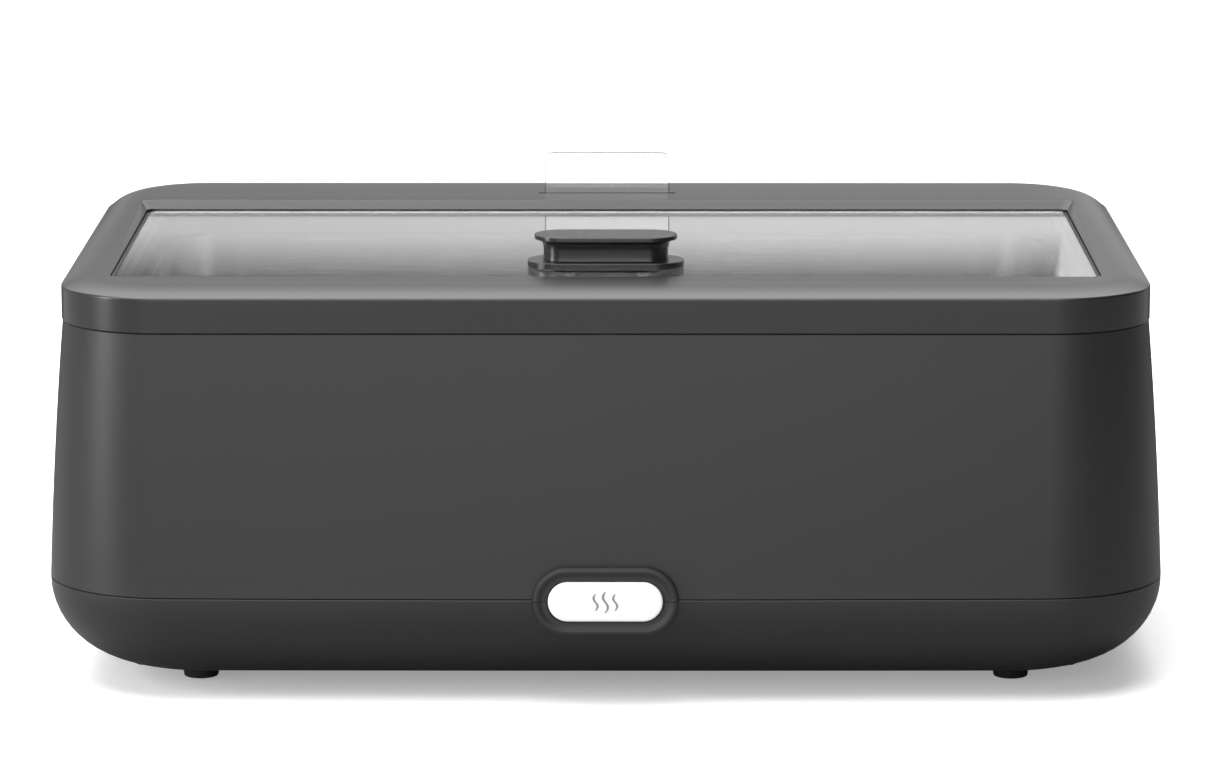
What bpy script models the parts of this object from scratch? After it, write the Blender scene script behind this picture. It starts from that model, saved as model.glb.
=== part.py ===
"""Countertop food warmer: a heated water bath for one full-size food pan, with a glass lid.

+Z is up, +X runs to the right along the front, and -Y is the front. The origin is on the
surface the feet stand on, under the middle of the casing. Lengths are in metres.
"""
import math

import bmesh
import bpy
from mathutils import Matrix, Vector

# ---- overall casing -----------------------------------------------------------------------------
PAN_FLANGE_LENGTH = 0.530     # standard full-size pan along X, which sets the casing's length
PAN_FLANGE_WIDTH = 0.325      # the same along Y
CASING_MARGIN = 0.0275        # pan flange to the lid's outside, all round
LID_CORNER = 0.056            # plan corner radius of the lid
FLARE = 0.009                 # how far the casing spreads from the lid to the lower seam
BELLY_CORNER = 0.067          # plan corner radius at the lower seam
BODY_STEP = 0.0005            # how far the casing sits inside the lid's edge at the upper seam
BODY_CROWN = 0.0008           # outward crown of the casing wall at mid height
TRAY_BOTTOM_Z = 0.0085        # underside of the base tray
TRAY_HEIGHT = 0.050           # base tray, up to the lower seam
SHELL_HEIGHT = 0.142          # body shell, from the lower seam to the upper one
WALL = 0.003                  # casing wall
UNDERCUT = 0.055              # how far the tray's underside draws in
UNDER_CORNER = 0.034          # plan corner radius of the tray's flat bottom
FIT_GAP = 0.0003              # gap between pieces that touch
CORNER_STEPS = 6              # segments of each plan corner

# ---- lid ----------------------------------------------------------------------------------------
LID_SKIRT = 0.0191            # height of the lid's upright skirt
LID_ROUND = 0.0015            # rounding over the skirt
LID_FRONT_RISE = 0.0220       # seam to the lid's top beside the front of the window
LID_CREST_RISE = 0.0275       # seam to the lid's top at the rear of the plateau
PLATEAU_SIDE = 0.020          # skirt to plateau, at the sides
PLATEAU_FRONT = 0.038         # skirt to plateau, at the front
PLATEAU_REAR = 0.022          # skirt to plateau, at the rear
SIDE_BAND = 0.0260            # window to the lid's outside, at the sides
FRONT_BAND = 0.0536           # the same at the front
REAR_BAND = 0.0887            # the same at the rear
WINDOW_CORNER = 0.005
COLLAR = 0.0025               # wall round the window opening
COLLAR_DROP = 0.0055          # glass top to the collar's lower edge
GLASS_RISE = 0.0215           # seam to the glass's top
GLASS_THICKNESS = 0.004
GASKET_WALL = 0.0015
GASKET_LEDGE = 0.004
GASKET_FLOOR = 0.0012
SEAL_MARGIN = 0.0118          # lid's outside to the seal's
SEAL_WALL = 0.0074
SEAL_DROP = 0.0029            # how far the seal hangs below the upper seam
INNER_FRAME_DEPTH = 0.0102
INNER_FRAME_FLOOR = 0.003

# ---- label holder -------------------------------------------------------------------------------
LABEL_INSET = 0.0555          # slot to the lid's rear face
LABEL_WIDTH = 0.073
LABEL_THICKNESS = 0.002
LABEL_RISE = 0.0235           # label holder above the lid's crest
LABEL_CORNER = 0.005
SLOT_WIDTH = 0.080
SLOT_CLEARANCE = 0.0003
SLOT_DEPTH = 0.010
SLOT_WALL = 0.003

# ---- handle -------------------------------------------------------------------------------------
HANDLE_INSET = 0.0364         # window's front edge to the middle of the handle
FLANGE_LENGTH = 0.085
FLANGE_WIDTH = 0.034
FLANGE_HEIGHT = 0.0038
NECK_LENGTH = 0.0676
NECK_WIDTH = 0.0220
NECK_STEPS = 4                # sections along the waisted neck
CAP_LENGTH = 0.0775
CAP_WIDTH = 0.032
CAP_THICKNESS = 0.0025
HANDLE_HEIGHT = 0.018         # glass to the top of the cap
HANDLE_SCREW_X = 0.020
BACKPLATE_LENGTH = 0.064
BACKPLATE_WIDTH = 0.016
BACKPLATE_THICKNESS = 0.0015
M4_RADIUS = 0.0020
M4_HEAD = 0.0038
M4_HEAD_HEIGHT = 0.0024
SCREW_CLEARANCE = 0.0004

# ---- pans ---------------------------------------------------------------------------------------
PAN_FLANGE = 0.011            # width of the pan's flange
PAN_DEPTH = 0.065
PAN_CORNER = 0.045
PAN_DRAFT = 0.004             # draw-in of the wall at the bottom, each side
PAN_FLOOR_ROUND = 0.012
SHEET = 0.001                 # steel thickness of both pans
WATER_CLEARANCE = 0.002       # water pan wall to food pan wall
WATER_FLOOR_RISE = 0.0368     # lower seam to the water pan's floor
WATER_FLANGE = 0.013
DECK_DROP = 0.0035            # deck below the upper seam
DECK_CLEARANCE = 0.002        # deck opening round the water pan

# ---- heater -------------------------------------------------------------------------------------
HEATER_INSET_X = 0.067        # water pan's wall to the heater plate's edge
HEATER_INSET_Y = 0.0445
HEATER_THICKNESS = 0.0027
ELEMENT_RADIUS = 0.00325
ELEMENT_INSET_X = 0.040       # heater plate's edge to the element's bends
ELEMENT_INSET_Y = 0.035
ELEMENT_STUB = 0.045          # inner end of the short runs, from the middle
CLAMP_X = 0.100
CLAMP_WIDTH = 0.012
CLAMP_THICKNESS = 0.0015
CUTOUT_RADIUS = 0.008
CUTOUT_HEIGHT = 0.006
CUTOUT_Y = 0.002
MAT_OVERHANG = 0.010          # insulation beyond the heater plate, all round
MAT_THICKNESS = 0.010
RIB_Y = 0.060
RIB_LENGTH = 0.300

# ---- badge and boss -----------------------------------------------------------------------------
BOSS_LENGTH = 0.0777
BOSS_HEIGHT = 0.037
BOSS_PROUD = 0.005
BOSS_BEVEL = 0.0030
BADGE_LENGTH = 0.061
BADGE_HEIGHT = 0.0214
BADGE_THICKNESS = 0.0015
BADGE_GAP = 0.0006
BADGE_RECESS = 0.0020

# ---- feet and screws ----------------------------------------------------------------------------
FOOT_INSET_X = 0.0715         # lid's outside to the middle of a foot
FOOT_INSET_Y = 0.0650
FOOT_RADIUS = 0.0093
FOOT_TOP_RADIUS = 0.0105
FOOT_HEAD_RECESS = 0.004
FOOT_BOSS_RADIUS = 0.007
FOOT_BOSS_HEIGHT = 0.008
POST_INSET_X = 0.0425         # lid's outside to the middle of a screw post
POST_INSET_Y = 0.0420
POST_RADIUS = 0.0055
POST_JOIN_RISE = 0.0135       # where tray sleeve and shell post meet, above the lower seam
CASE_SCREW_GRIP = 0.010       # plastic under the case screw's head
CASE_SCREW_BITE = 0.009       # thread in the body shell's post

# ---- lid hinges ---------------------------------------------------------------------------------
HINGE_INSET = 0.1025          # lid's end to the middle of a hinge
HINGE_LENGTH = 0.040
KNUCKLE_RADIUS = 0.0042
KNUCKLE_GAP = 0.0004
PIN_RADIUS = 0.0020
PIN_CLEARANCE = 0.0003
LEAF = 0.002                  # thickness of the hinge plates
PAD_PROUD = 0.0019            # hinge pad beyond the lid's rear face
HINGE_OUT = 0.0062            # axis beyond the lid's rear face
BRACKET_DROP = 0.026
LEAF_RISE = 0.0140

# ---- control panel ------------------------------------------------------------------------------
PANEL_LENGTH = 0.150
PANEL_HEIGHT = 0.052
PANEL_RISE = 0.0355           # lower seam to the middle of the panel
PANEL_FLANGE = 0.006
PANEL_FLANGE_THICKNESS = 0.0028
PANEL_PROUD = 0.0042          # panel's face in front of its flange
PANEL_WALL_GAP = 0.0023       # flange to the inside of the casing wall
BEZEL = 0.0015                # thickness of each fitting's flange on the panel
BEZEL_LIP = 0.0020            # how far that flange covers the panel round its hole
KNOB_X = 0.048
KNOB_RADIUS = 0.017
KNOB_SKIN = 0.0016
SHAFT_RADIUS = 0.003
SHAFT_CLEARANCE = 0.0004
THERMOSTAT_SIZE = 0.030
THERMOSTAT_DEPTH = 0.026
LAMP_X = 0.022
LAMP_RADIUS = 0.0040
LAMP_DEPTH = 0.014
SWITCH_X = 0.0
SWITCH_WIDTH = 0.0138
SWITCH_HEIGHT = 0.0204
SWITCH_DEPTH = 0.018
ROCKER_WIDTH = 0.0098
ROCKER_HALF = 0.0074
ROCKER_FRONT = 0.0070
ROCKER_DISH = 0.0052
ROCKER_BACK = 0.0040
ROCKER_TILT = math.radians(8)
ROCKER_AXIS_INSET = 0.0045    # axis behind the panel's face
INLET_X = -0.045
INLET_WIDTH = 0.0274
INLET_HEIGHT = 0.0204
INLET_DEPTH = 0.022
INLET_WALL = 0.0017
INLET_BACK = 0.007
INLET_PIN_PITCH = 0.007
INLET_PIN_RISE = 0.0025
INLET_PIN_WIDTH = 0.004
INLET_PIN_THICKNESS = 0.002
INLET_PIN_LENGTH = 0.028
INLET_PIN_INSET = 0.004
WIRE_LEAD = 0.0055            # straight stretch out of a terminal, and the step of the routes
WIRE_RADIUS = 0.0011

# ---- sizes and places that follow ---------------------------------------------------------------
LOWER_SEAM_Z = TRAY_BOTTOM_Z + TRAY_HEIGHT
UPPER_SEAM_Z = LOWER_SEAM_Z + SHELL_HEIGHT
LID_EDGE_Z = UPPER_SEAM_Z + LID_SKIRT
LID_FRONT_Z = UPPER_SEAM_Z + LID_FRONT_RISE
LID_CREST_Z = UPPER_SEAM_Z + LID_CREST_RISE
GLASS_TOP_Z = UPPER_SEAM_Z + GLASS_RISE
COLLAR_BOTTOM_Z = GLASS_TOP_Z - COLLAR_DROP
LID_LENGTH = PAN_FLANGE_LENGTH + 2 * CASING_MARGIN
LID_WIDTH = PAN_FLANGE_WIDTH + 2 * CASING_MARGIN
BELLY_LENGTH = LID_LENGTH + 2 * FLARE
BELLY_WIDTH = LID_WIDTH + 2 * FLARE
LID_FRONT_Y = -LID_WIDTH / 2
LID_REAR_Y = LID_WIDTH / 2
WINDOW_LENGTH = LID_LENGTH - 2 * SIDE_BAND
WINDOW_FRONT_Y = LID_FRONT_Y + FRONT_BAND
WINDOW_REAR_Y = LID_REAR_Y - REAR_BAND
SEAL_LENGTH = LID_LENGTH - 2 * SEAL_MARGIN
SEAL_WIDTH = LID_WIDTH - 2 * SEAL_MARGIN
LABEL_Y = LID_REAR_Y - LABEL_INSET
LABEL_TOP_Z = LID_CREST_Z + LABEL_RISE
HANDLE_Y = WINDOW_FRONT_Y + HANDLE_INSET
PAN_LENGTH = PAN_FLANGE_LENGTH - 2 * PAN_FLANGE
PAN_WIDTH = PAN_FLANGE_WIDTH - 2 * PAN_FLANGE
FOOT_X = LID_LENGTH / 2 - FOOT_INSET_X
FOOT_Y = LID_WIDTH / 2 - FOOT_INSET_Y
POST_X = LID_LENGTH / 2 - POST_INSET_X
POST_Y = LID_WIDTH / 2 - POST_INSET_Y
POST_JOIN_Z = LOWER_SEAM_Z + POST_JOIN_RISE
HINGE_X = LID_LENGTH / 2 - HINGE_INSET
PANEL_Z = LOWER_SEAM_Z + PANEL_RISE
DECK_Z = UPPER_SEAM_Z - DECK_DROP
WATER_FLANGE_Z = DECK_Z + FIT_GAP
FOOD_FLANGE_Z = WATER_FLANGE_Z + SHEET + FIT_GAP
FOOD_FLOOR_Z = FOOD_FLANGE_Z + SHEET - PAN_DEPTH
WATER_FLOOR_Z = LOWER_SEAM_Z + WATER_FLOOR_RISE
WATER_LENGTH = PAN_LENGTH + 2 * (WATER_CLEARANCE + SHEET)
WATER_WIDTH = PAN_WIDTH + 2 * (WATER_CLEARANCE + SHEET)
WATER_CORNER = PAN_CORNER + WATER_CLEARANCE + SHEET
HEATER_LENGTH = WATER_LENGTH - 2 * HEATER_INSET_X
HEATER_WIDTH = WATER_WIDTH - 2 * HEATER_INSET_Y
ELEMENT_RUN = HEATER_LENGTH / 2 - ELEMENT_INSET_X
ELEMENT_PITCH = (HEATER_WIDTH - 2 * ELEMENT_INSET_Y) / 3
HEATER_TOP_Z = WATER_FLOOR_Z - SHEET - FIT_GAP
HEATER_BOTTOM_Z = HEATER_TOP_Z - HEATER_THICKNESS
ELEMENT_Z = HEATER_BOTTOM_Z - FIT_GAP - ELEMENT_RADIUS
CLAMP_TOP_Z = ELEMENT_Z - ELEMENT_RADIUS - FIT_GAP
MAT_TOP_Z = CLAMP_TOP_Z - CLAMP_THICKNESS - FIT_GAP
MAT_BOTTOM_Z = MAT_TOP_Z - MAT_THICKNESS
WINDOW_WIDTH = WINDOW_REAR_Y - WINDOW_FRONT_Y
WINDOW_Y = (WINDOW_REAR_Y + WINDOW_FRONT_Y) / 2
GLASS_BOTTOM_Z = GLASS_TOP_Z - GLASS_THICKNESS
GASKET_BOTTOM_Z = GLASS_BOTTOM_Z - FIT_GAP - GASKET_FLOOR
INNER_FRAME_TOP_Z = min(GASKET_BOTTOM_Z, COLLAR_BOTTOM_Z) - FIT_GAP
FLANGE_TOP_Z = GLASS_TOP_Z + FIT_GAP + FLANGE_HEIGHT
HANDLE_TOP_Z = GLASS_TOP_Z + HANDLE_HEIGHT
BACKPLATE_TOP_Z = GLASS_BOTTOM_Z - FIT_GAP
PAD_FACE_Y = LID_WIDTH / 2 + PAD_PROUD
HINGE_Y = LID_WIDTH / 2 + HINGE_OUT
HINGE_Z = UPPER_SEAM_Z
BOSS_FACE_Y = -(BELLY_WIDTH / 2 + BOSS_PROUD)
REAR_LIMIT_Y = -BOSS_FACE_Y   # rear face of the knob, as far out as the boss




def wall_half(z):
    """Half sizes and corner radius of the casing's outer wall at a height above the lower seam."""
    share = (z - LOWER_SEAM_Z) / (UPPER_SEAM_Z - LOWER_SEAM_Z)
    crown = BODY_CROWN * 4 * share * (1 - share)
    half_x = LID_LENGTH / 2 - BODY_STEP + (1 - share) * (FLARE + BODY_STEP) + crown
    half_y = LID_WIDTH / 2 - BODY_STEP + (1 - share) * (FLARE + BODY_STEP) + crown
    return half_x, half_y, BELLY_CORNER + share * (LID_CORNER - BELLY_CORNER)


PANEL_FLANGE_FRONT_Y = wall_half(PANEL_Z + PANEL_HEIGHT / 2 + PANEL_FLANGE)[1] - WALL - PANEL_WALL_GAP
PANEL_FLANGE_BACK_Y = PANEL_FLANGE_FRONT_Y - PANEL_FLANGE_THICKNESS
PANEL_FACE_Y = PANEL_FLANGE_FRONT_Y + PANEL_PROUD
ROCKER_Y = PANEL_FACE_Y - ROCKER_AXIS_INSET


# ---- scene helpers ------------------------------------------------------------------------------
def start_empty():
    """Remove what is in the scene and give the collections for parts and cutters."""
    for thing in list(bpy.data.objects):
        bpy.data.objects.remove(thing, do_unlink=True)
    groups = []
    for name in ("food_warmer", "cutters"):
        group = bpy.data.collections.new(name)
        bpy.context.scene.collection.children.link(group)
        groups.append(group)
    return groups


PARTS, CUTTERS = start_empty()


def finish(name, colour, roughness, metallic=0.0, alpha=1.0):
    """A plain material: colour, roughness and metallic value."""
    material = bpy.data.materials.new(name)
    material.use_nodes = True
    shader = material.node_tree.nodes["Principled BSDF"]
    shader.inputs["Base Color"].default_value = (*colour, 1.0)
    shader.inputs["Roughness"].default_value = roughness
    shader.inputs["Metallic"].default_value = metallic
    shader.inputs["Alpha"].default_value = alpha
    return material


BLACK = finish("charcoal_plastic", (0.055, 0.055, 0.057), 0.50)
DARK = finish("black_plastic", (0.020, 0.020, 0.021), 0.45)
GLASS = finish("clear_glass", (0.86, 0.90, 0.90), 0.05, 0.0, 0.30)
ACRYLIC = finish("clear_acrylic", (0.92, 0.94, 0.95), 0.08, 0.0, 0.35)
RUBBER = finish("black_rubber", (0.016, 0.016, 0.016), 0.80)
STEEL = finish("stainless_steel", (0.62, 0.62, 0.61), 0.30, 1.0)
ALUMINIUM = finish("aluminium", (0.72, 0.73, 0.74), 0.35, 1.0)
ZINC = finish("zinc_plated_steel", (0.60, 0.62, 0.64), 0.30, 1.0)
WHITE = finish("white_badge", (0.88, 0.88, 0.87), 0.35)
AMBER = finish("amber_lens", (0.85, 0.35, 0.04), 0.15)
WOOL = finish("mineral_wool", (0.60, 0.56, 0.42), 0.95)
INSULATION_BLUE = finish("wire_blue", (0.03, 0.12, 0.45), 0.50)
INSULATION_BROWN = finish("wire_brown", (0.16, 0.06, 0.02), 0.50)
INSULATION_GREEN = finish("wire_green_yellow", (0.15, 0.42, 0.05), 0.50)


def place(piece, group):
    """Move an object into one collection."""
    for old in list(piece.users_collection):
        old.objects.unlink(piece)
    group.objects.link(piece)


def part(piece, name, material):
    """Name a finished piece, give it its material and put it with the parts."""
    piece.name = name
    piece.data.name = name
    piece.data.materials.clear()
    piece.data.materials.append(material)
    place(piece, PARTS)
    return piece


def as_cutter(piece, name):
    """Put a tool body with the cutters, out of the render."""
    piece.name = name
    place(piece, CUTTERS)
    piece.hide_render = True
    piece.display_type = 'WIRE'
    return piece


def boolean(piece, tool, operation):
    """Cut with, or join, a tool body that stays among the cutters."""
    if tool.name not in CUTTERS.objects:
        as_cutter(tool, piece.name + "_tool")
    step = piece.modifiers.new(operation.lower(), 'BOOLEAN')
    step.operation = operation
    step.solver = 'EXACT'
    step.object = tool


def cut(piece, *tools):
    for tool in tools:
        boolean(piece, tool, 'DIFFERENCE')


def join(piece, *tools):
    for tool in tools:
        boolean(piece, tool, 'UNION')


def object_from(mesh, name, smooth_angle=None):
    """An object from a bmesh, in the scene's own collection until it is placed."""
    data = bpy.data.meshes.new(name)
    mesh.to_mesh(data)
    mesh.free()
    if smooth_angle is not None:
        data.shade_smooth()
        data.set_sharp_from_angle(angle=smooth_angle)
    piece = bpy.data.objects.new(name, data)
    bpy.context.scene.collection.objects.link(piece)
    return piece


# ---- shapes -------------------------------------------------------------------------------------
SMOOTH = math.radians(35)


def outline(length, width, radius):
    """Points of a rounded rectangle round the origin, counter-clockwise."""
    points = []
    for side_x, side_y, start in ((1, 1, 0), (-1, 1, 90), (-1, -1, 180), (1, -1, 270)):
        for step in range(CORNER_STEPS + 1):
            angle = math.radians(start + 90 * step / CORNER_STEPS)
            points.append((side_x * (length / 2 - radius) + radius * math.cos(angle),
                           side_y * (width / 2 - radius) + radius * math.sin(angle)))
    return points


def loft(name, sections):
    """A closed solid through rounded rectangles.

    Each section is (length, width, radius, z, centre y); z may be a function of y, and the
    sections run from the lowest to the highest.
    """
    mesh = bmesh.new()
    rings = []
    for length, width, radius, level, centre_y in sections:
        ring = []
        for x, y in outline(length, width, radius):
            z = level(y + centre_y) if callable(level) else level
            ring.append(mesh.verts.new((x, y + centre_y, z)))
        rings.append(ring)
    for low, high in zip(rings, rings[1:]):
        for here in range(len(low)):
            after = (here + 1) % len(low)
            mesh.faces.new((low[here], low[after], high[after], high[here]))
    mesh.faces.new(reversed(rings[0]))
    mesh.faces.new(rings[-1])
    return object_from(mesh, name, SMOOTH)


def slab(name, length, width, radius, low, high, centre_y=0.0):
    """A flat plate with rounded plan corners."""
    return loft(name, ((length, width, radius, low, centre_y), (length, width, radius, high, centre_y)))


def box(name, low, high):
    """A box between two corners."""
    mesh = bmesh.new()
    bmesh.ops.create_cube(mesh, size=1.0)
    low, high = Vector(low), Vector(high)
    size = high - low
    bmesh.ops.scale(mesh, vec=size, verts=mesh.verts)
    bmesh.ops.translate(mesh, vec=(low + high) / 2, verts=mesh.verts)
    return object_from(mesh, name)


def block(name, x, y, z, size_x, size_y, size_z):
    """A box round a centre."""
    half = Vector((size_x, size_y, size_z)) / 2
    return box(name, Vector((x, y, z)) - half, Vector((x, y, z)) + half)


def rod(name, radius, start, end, top_radius=None, segments=20):
    """A round bar or cone frustum from one point to another."""
    start, end = Vector(start), Vector(end)
    mesh = bmesh.new()
    length = (end - start).length
    bmesh.ops.create_cone(mesh, cap_ends=True, segments=segments, radius1=radius,
                          radius2=radius if top_radius is None else top_radius, depth=length)
    turn = Vector((0, 0, 1)).rotation_difference((end - start).normalized()).to_matrix().to_4x4()
    bmesh.ops.transform(mesh, matrix=Matrix.Translation((start + end) / 2) @ turn, verts=mesh.verts)
    return object_from(mesh, name, SMOOTH)


def turned(name, profile, segments=24):
    """A turned piece on the Z axis: (radius, z) points from the top of the axis to the bottom."""
    mesh = bmesh.new()
    previous = None
    for radius, z in profile:
        vert = mesh.verts.new((radius, 0, z))
        if previous is not None:
            mesh.edges.new((previous, vert))
        previous = vert
    piece = object_from(mesh, name)
    screw = piece.modifiers.new("turn", 'SCREW')
    screw.axis = 'Z'
    screw.steps = segments
    screw.render_steps = segments
    screw.use_merge_vertices = True
    screw.merge_threshold = 0.00005
    screw.use_smooth_shade = True
    return piece


def upright(piece):
    """Turn a piece made flat on XY so that its +Z side faces the front, -Y, and +Y stands up."""
    piece.data.transform(Matrix.Rotation(math.radians(90), 4, 'X'))
    return piece


def stadium(name, length, height, low_y, high_y, z, bevel=0.0):
    """A stadium-shaped plate standing up, its front at low_y and its back at high_y."""
    radius = height * 0.49
    sections = [(length, height, radius, -high_y, 0.0)]
    if bevel:
        sections.append((length, height, radius, -low_y - bevel, 0.0))
        sections.append((length - 2 * bevel, height - 2 * bevel, radius - bevel, -low_y, 0.0))
    else:
        sections.append((length, height, radius, -low_y, 0.0))
    piece = upright(loft(name, sections))
    piece.data.transform(Matrix.Translation((0, 0, z)))
    return piece


def tube(name, points, radius, resolution=2):
    """A round wire or tube along a smooth line through the points."""
    line = smooth_line([Vector(point) for point in points])
    curve = bpy.data.curves.new(name, 'CURVE')
    curve.dimensions = '3D'
    curve.bevel_depth = radius
    curve.bevel_resolution = resolution
    curve.use_fill_caps = True
    spline = curve.splines.new('POLY')
    spline.points.add(len(line) - 1)
    for slot, point in zip(spline.points, line):
        slot.co = (*point, 1.0)
    piece = bpy.data.objects.new(name, curve)
    bpy.context.scene.collection.objects.link(piece)
    return piece


def smooth_line(points, steps=3):
    """Catmull-Rom points through a route whose first and last stretches are straight."""
    line = [points[0]]
    for before, here, after, beyond in zip(points, points[1:], points[2:], points[3:]):
        for step in range(steps):
            t = step / steps
            line.append(0.5 * (2 * here + t * (after - before)
                               + t * t * (2 * before - 5 * here + 4 * after - beyond)
                               + t ** 3 * (3 * here - before - 3 * after + beyond)))
    return line + points[-2:]


# ---- casing -------------------------------------------------------------------------------------
def wall_sections(levels, inset=0.0):
    sections = []
    for z in levels:
        half_x, half_y, radius = wall_half(z)
        sections.append((2 * (half_x - inset), 2 * (half_y - inset), radius - inset, z, 0.0))
    return sections


def boss_half(name, low_z, high_z):
    """The part of the badge boss between two levels, reaching back into the casing wall."""
    back_y = BOSS_FACE_Y + BOSS_PROUD + 4 * WALL
    boss = stadium(name, BOSS_LENGTH, BOSS_HEIGHT, BOSS_FACE_Y, back_y, LOWER_SEAM_Z, BOSS_BEVEL)
    keep = box(name + "_keep", (-BOSS_LENGTH, BOSS_FACE_Y - WALL, low_z),
               (BOSS_LENGTH, back_y + WALL, high_z))
    boolean(boss, as_cutter(keep, name + "_keep"), 'INTERSECT')
    return boss


def badge_recess(name):
    gap = 2 * BADGE_GAP
    return stadium(name, BADGE_LENGTH + gap, BADGE_HEIGHT + gap, BOSS_FACE_Y - WALL,
                   BOSS_FACE_Y + BADGE_RECESS, LOWER_SEAM_Z)


def corners(x, y):
    """The four mirrored places of a point."""
    return [(side_x * x, side_y * y) for side_y in (-1, 1) for side_x in (-1, 1)]


def make_body_shell():
    low = LOWER_SEAM_Z + FIT_GAP / 2
    high = UPPER_SEAM_Z - FIT_GAP
    middle = (low + high) / 2
    shell = loft("body_shell", wall_sections((low, middle, high)))
    part(shell, "body_shell", BLACK)
    for side in (-1, 1):
        pad = box("hinge_pad", (side * HINGE_X - HINGE_LENGTH / 2 - WALL, LID_WIDTH / 2 - 2 * WALL,
                                HINGE_Z - BRACKET_DROP - 2 * WALL),
                  (side * HINGE_X + HINGE_LENGTH / 2 + WALL, PAD_FACE_Y, high - FIT_GAP))
        join(shell, pad)
    join(shell, boss_half("boss_upper", low, LOWER_SEAM_Z + BOSS_HEIGHT))
    deck_low = DECK_Z - WALL
    cavity = loft("shell_cavity", [(*wall_sections((low - WALL,), WALL)[0][:3], low - WALL, 0.0)]
                  + wall_sections((low, middle, deck_low), WALL))
    cut(shell, cavity)
    top = wall_sections((high,), WALL)[0]
    cut(shell, slab("deck_recess", top[0], top[1], top[2], DECK_Z, high + WALL))
    opening = 2 * DECK_CLEARANCE
    cut(shell, slab("deck_opening", WATER_LENGTH + opening, WATER_WIDTH + opening,
                    WATER_CORNER + DECK_CLEARANCE, deck_low - WALL, DECK_Z + WALL))
    for x, y in corners(POST_X, POST_Y):
        join(shell, rod("shell_post", POST_RADIUS, (x, y, POST_JOIN_Z),
                        (x, y, DECK_Z - WALL / 2), segments=12))
        cut(shell, rod("shell_post_bore", M4_RADIUS + SCREW_CLEARANCE, (x, y, POST_JOIN_Z - WALL),
                       (x, y, POST_JOIN_Z + CASE_SCREW_BITE + WALL), segments=12))
    cut(shell, badge_recess("badge_recess_upper"))
    cut(shell, block("panel_cutout", 0, PANEL_FACE_Y, PANEL_Z, PANEL_LENGTH + 2 * FIT_GAP, 8 * WALL,
                     PANEL_HEIGHT + 2 * FIT_GAP))


def tray_sections(inset=0.0, lift=0.0):
    """The base tray's rounded underside, from its flat bottom up to the lower seam."""
    top = LOWER_SEAM_Z - FIT_GAP / 2
    depth = top - TRAY_BOTTOM_Z - lift
    sections = []
    for angle in (90, 67.5, 45, 22.5, 0):
        turn = math.radians(angle)
        draw = (UNDERCUT - inset / 2) * (1 - math.cos(turn)) + inset
        share = (1 - math.cos(turn))
        radius = BELLY_CORNER - inset + share * (UNDER_CORNER - BELLY_CORNER)
        sections.append((BELLY_LENGTH - 2 * draw, BELLY_WIDTH - 2 * draw, radius,
                         top - depth * math.sin(turn), 0.0))
    return sections


def make_base_tray():
    tray = part(loft("base_tray", tray_sections()), "base_tray", BLACK)
    join(tray, boss_half("boss_lower", LOWER_SEAM_Z - BOSS_HEIGHT, LOWER_SEAM_Z - FIT_GAP / 2))
    hollow = tray_sections(WALL, WALL)
    top = hollow[-1]
    cut(tray, loft("tray_cavity", hollow + [(top[0], top[1], top[2], top[3] + 4 * WALL, 0.0)]))
    floor = TRAY_BOTTOM_Z + WALL
    for side in (-1, 1):
        join(tray, box("tray_rib", (-RIB_LENGTH / 2, side * RIB_Y - WALL / 2, floor - WALL / 2),
                       (RIB_LENGTH / 2, side * RIB_Y + WALL / 2, MAT_BOTTOM_Z - FIT_GAP)))
    for x, y in corners(FOOT_X, FOOT_Y):
        join(tray, rod("foot_boss", FOOT_BOSS_RADIUS, (x, y, floor - WALL / 2),
                       (x, y, floor + FOOT_BOSS_HEIGHT), segments=12))
        cut(tray, rod("foot_bore", M4_RADIUS + SCREW_CLEARANCE, (x, y, TRAY_BOTTOM_Z - WALL),
                      (x, y, floor + FOOT_BOSS_HEIGHT - WALL / 2), segments=12))
    sleeve_top = POST_JOIN_Z - FIT_GAP
    outside = tray_sections()
    form = as_cutter(loft("sleeve_limit", outside + [(*outside[-1][:3], sleeve_top, 0.0)]), "sleeve_limit")
    for x, y in corners(POST_X, POST_Y):
        sleeve = rod("tray_sleeve", POST_RADIUS, (x, y, TRAY_BOTTOM_Z - WALL),
                     (x, y, sleeve_top + WALL), segments=12)
        boolean(sleeve, form, 'INTERSECT')
        join(tray, sleeve)
        cut(tray, rod("sleeve_well", M4_HEAD + SCREW_CLEARANCE, (x, y, TRAY_BOTTOM_Z - WALL),
                      (x, y, sleeve_top - CASE_SCREW_GRIP), segments=12))
        cut(tray, rod("sleeve_bore", M4_RADIUS + SCREW_CLEARANCE, (x, y, TRAY_BOTTOM_Z),
                      (x, y, sleeve_top + WALL), segments=12))
    cut(tray, badge_recess("badge_recess_lower"))


def screw(name, x, y, head_low, head_high, tip):
    """A pan-head screw along Z, driven from below."""
    shank = rod(name + "_shank", M4_RADIUS, (x, y, (head_low + head_high) / 2), (x, y, tip), segments=8)
    head = rod(name, M4_HEAD, (x, y, head_low), (x, y, head_high), segments=12)
    part(head, name, ZINC)
    join(head, shank)


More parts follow.
